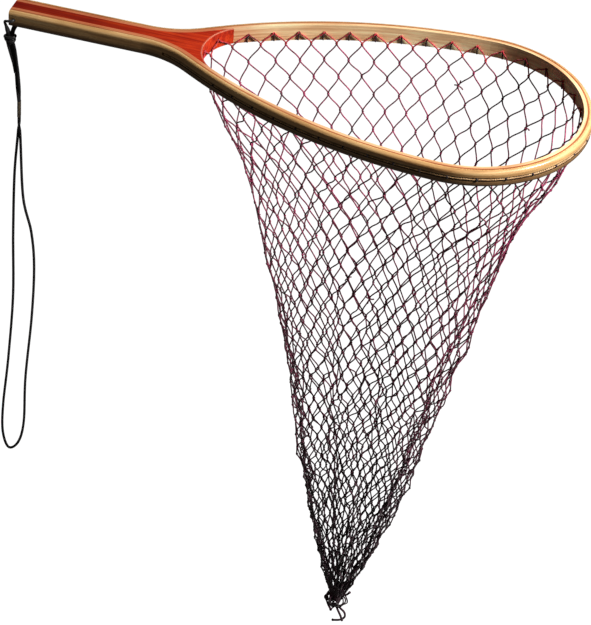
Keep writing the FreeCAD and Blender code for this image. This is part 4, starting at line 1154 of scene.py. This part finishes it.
# The loop's outline: sideways from the split and down from it, in millimetres, as the elastic cord hangs.
OUTER_SIDE = ((-1.3, 0), (-5.4, 55), (-6.6, 130), (-6.0, 215), (-11.2, 300), (-18.0, 372), (-18.6, 412))
LOOP_BOTTOM = ((-11.6, 433.4), (0.0, 422))
INNER_SIDE = ((6.6, 390), (8.8, 325), (15.8, 238), (17.8, 170), (14.0, 124), (4.4, 80), (1.3, 0))
LOOP_OUTLINE = OUTER_SIDE + LOOP_BOTTOM + INNER_SIDE
LOOP_WAVE = 1.2 * MM
loop_points = [(SPLIT_X + side * MM, LANYARD_Y, loop_high.z - down * MM) for side, down in LOOP_OUTLINE]
loop_line, _ = resample(through(loop_points, 560)[0], 2.0 * MM)
loop_line[:, 1] += LOOP_WAVE * np.sin(np.linspace(0, 5 * np.pi, len(loop_line)))
loop_cord = tubes(loop_line[None], LANYARD_RADIUS * 1.08, (0, 1, 0), 10)
wrist = make_piece("lanyard_wrist", [loop_cord], ELASTIC)
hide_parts("lanyard_loop")
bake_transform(wrist)

# ------ camera, from the near side and above
AZIMUTH, ELEVATION, ROLL = math.radians(13.6), math.radians(37.6), math.radians(4.5)
DISTANCE = 2.85
SHIFT_RIGHT, SHIFT_UP = 1.0 * MM, 240.6 * MM
LENS = 174.0
level = math.cos(ELEVATION)
back = Vector((math.sin(AZIMUTH) * level, -math.cos(AZIMUTH) * level, math.sin(ELEVATION)))
level_right = Vector((math.cos(AZIMUTH), math.sin(AZIMUTH), 0.0))
level_up = back.cross(level_right)
right = math.cos(ROLL) * level_right + math.sin(ROLL) * level_up
up = -math.sin(ROLL) * level_right + math.cos(ROLL) * level_up
mid_length = Vector(((outer_low.x + outer_high.x) / 2, 0.0, 0.0))
camera = bpy.data.objects.new("camera", bpy.data.cameras.new("camera"))
camera.data.lens = LENS
camera.data.sensor_width = 36.0
camera.data.sensor_fit = "HORIZONTAL"
place = Matrix((right, up, back)).transposed().to_4x4()
place.translation = mid_length + DISTANCE * back - SHIFT_RIGHT * right - SHIFT_UP * up
camera.matrix_world = place
bpy.context.scene.collection.objects.link(camera)
bpy.context.scene.camera = camera


# ------ light, floor and surroundings
def area_light(name, direction, distance, size, power, colour, target):
    light = bpy.data.lights.new(name, "AREA")
    light.shape = "DISK"
    light.size = size
    light.energy = power
    light.color = colour
    holder = bpy.data.objects.new(name, light)
    aim = Vector(direction).normalized()
    holder.location = Vector(target) + aim * distance
    holder.rotation_mode = "QUATERNION"
    holder.rotation_quaternion = aim.to_track_quat("Z", "Y")
    bpy.context.scene.collection.objects.link(holder)


hoop_middle = (BAG_CENTRE_X, 0.0, -0.05)
area_light("key", (0.74, -0.03, 0.67), 1.7, 0.40, 57.0, (1.0, 0.97, 0.93), hoop_middle)
area_light("fill", (-0.35, -0.8, 0.35), 2.6, 1.8, 1.5, (1.0, 0.80, 0.42), hoop_middle)

world = bpy.data.worlds.new("studio")
world.use_nodes = True
bpy.context.scene.world = world
# Bright where the camera sees it, and nearly dark as a light.
AMBIENT = 0.03
WHITE = (1.0, 1.0, 1.0, 1.0)
sky = Nodes(world.node_tree)
camera_sees = sky.add("ShaderNodeLightPath").outputs["Is Camera Ray"]
strength = sky.range(camera_sees, 0.0, 1.0, AMBIENT, 1.0)
background = sky.add("ShaderNodeBackground", {"Color": WHITE, "Strength": strength})
sky.add("ShaderNodeOutputWorld", {"Surface": background.outputs[0]})

FLOOR_DROP = 1.6
FLOOR_REACH = 14.0
square = ((-1, -1), (1, -1), (1, 1), (-1, 1))
corners = [(x * FLOOR_REACH, y * FLOOR_REACH, -FLOOR_DROP) for x, y in square]
floor_mesh = bpy.data.meshes.new("floor")
floor_mesh.from_pydata(corners, [], [(0, 1, 2, 3)])
floor = bpy.data.objects.new("floor", floor_mesh)
bpy.context.scene.collection.objects.link(floor)
paper = Shader("paper")
grain = paper.noise(paper.position(), 30.0, 3.0)
paper_colour = paper.ramp(grain, [(0.3, linear((128, 128, 130))), (0.7, linear((136, 136, 138)))])
camera_sees = paper.add("ShaderNodeLightPath").outputs["Is Camera Ray"]
glow = {"Emission Color": WHITE, "Emission Strength": camera_sees}
floor_mesh.materials.append(paper.finish({"Base Color": paper_colour, "Roughness": 0.9} | glow))
bpy.context.scene.view_settings.view_transform = "Standard"
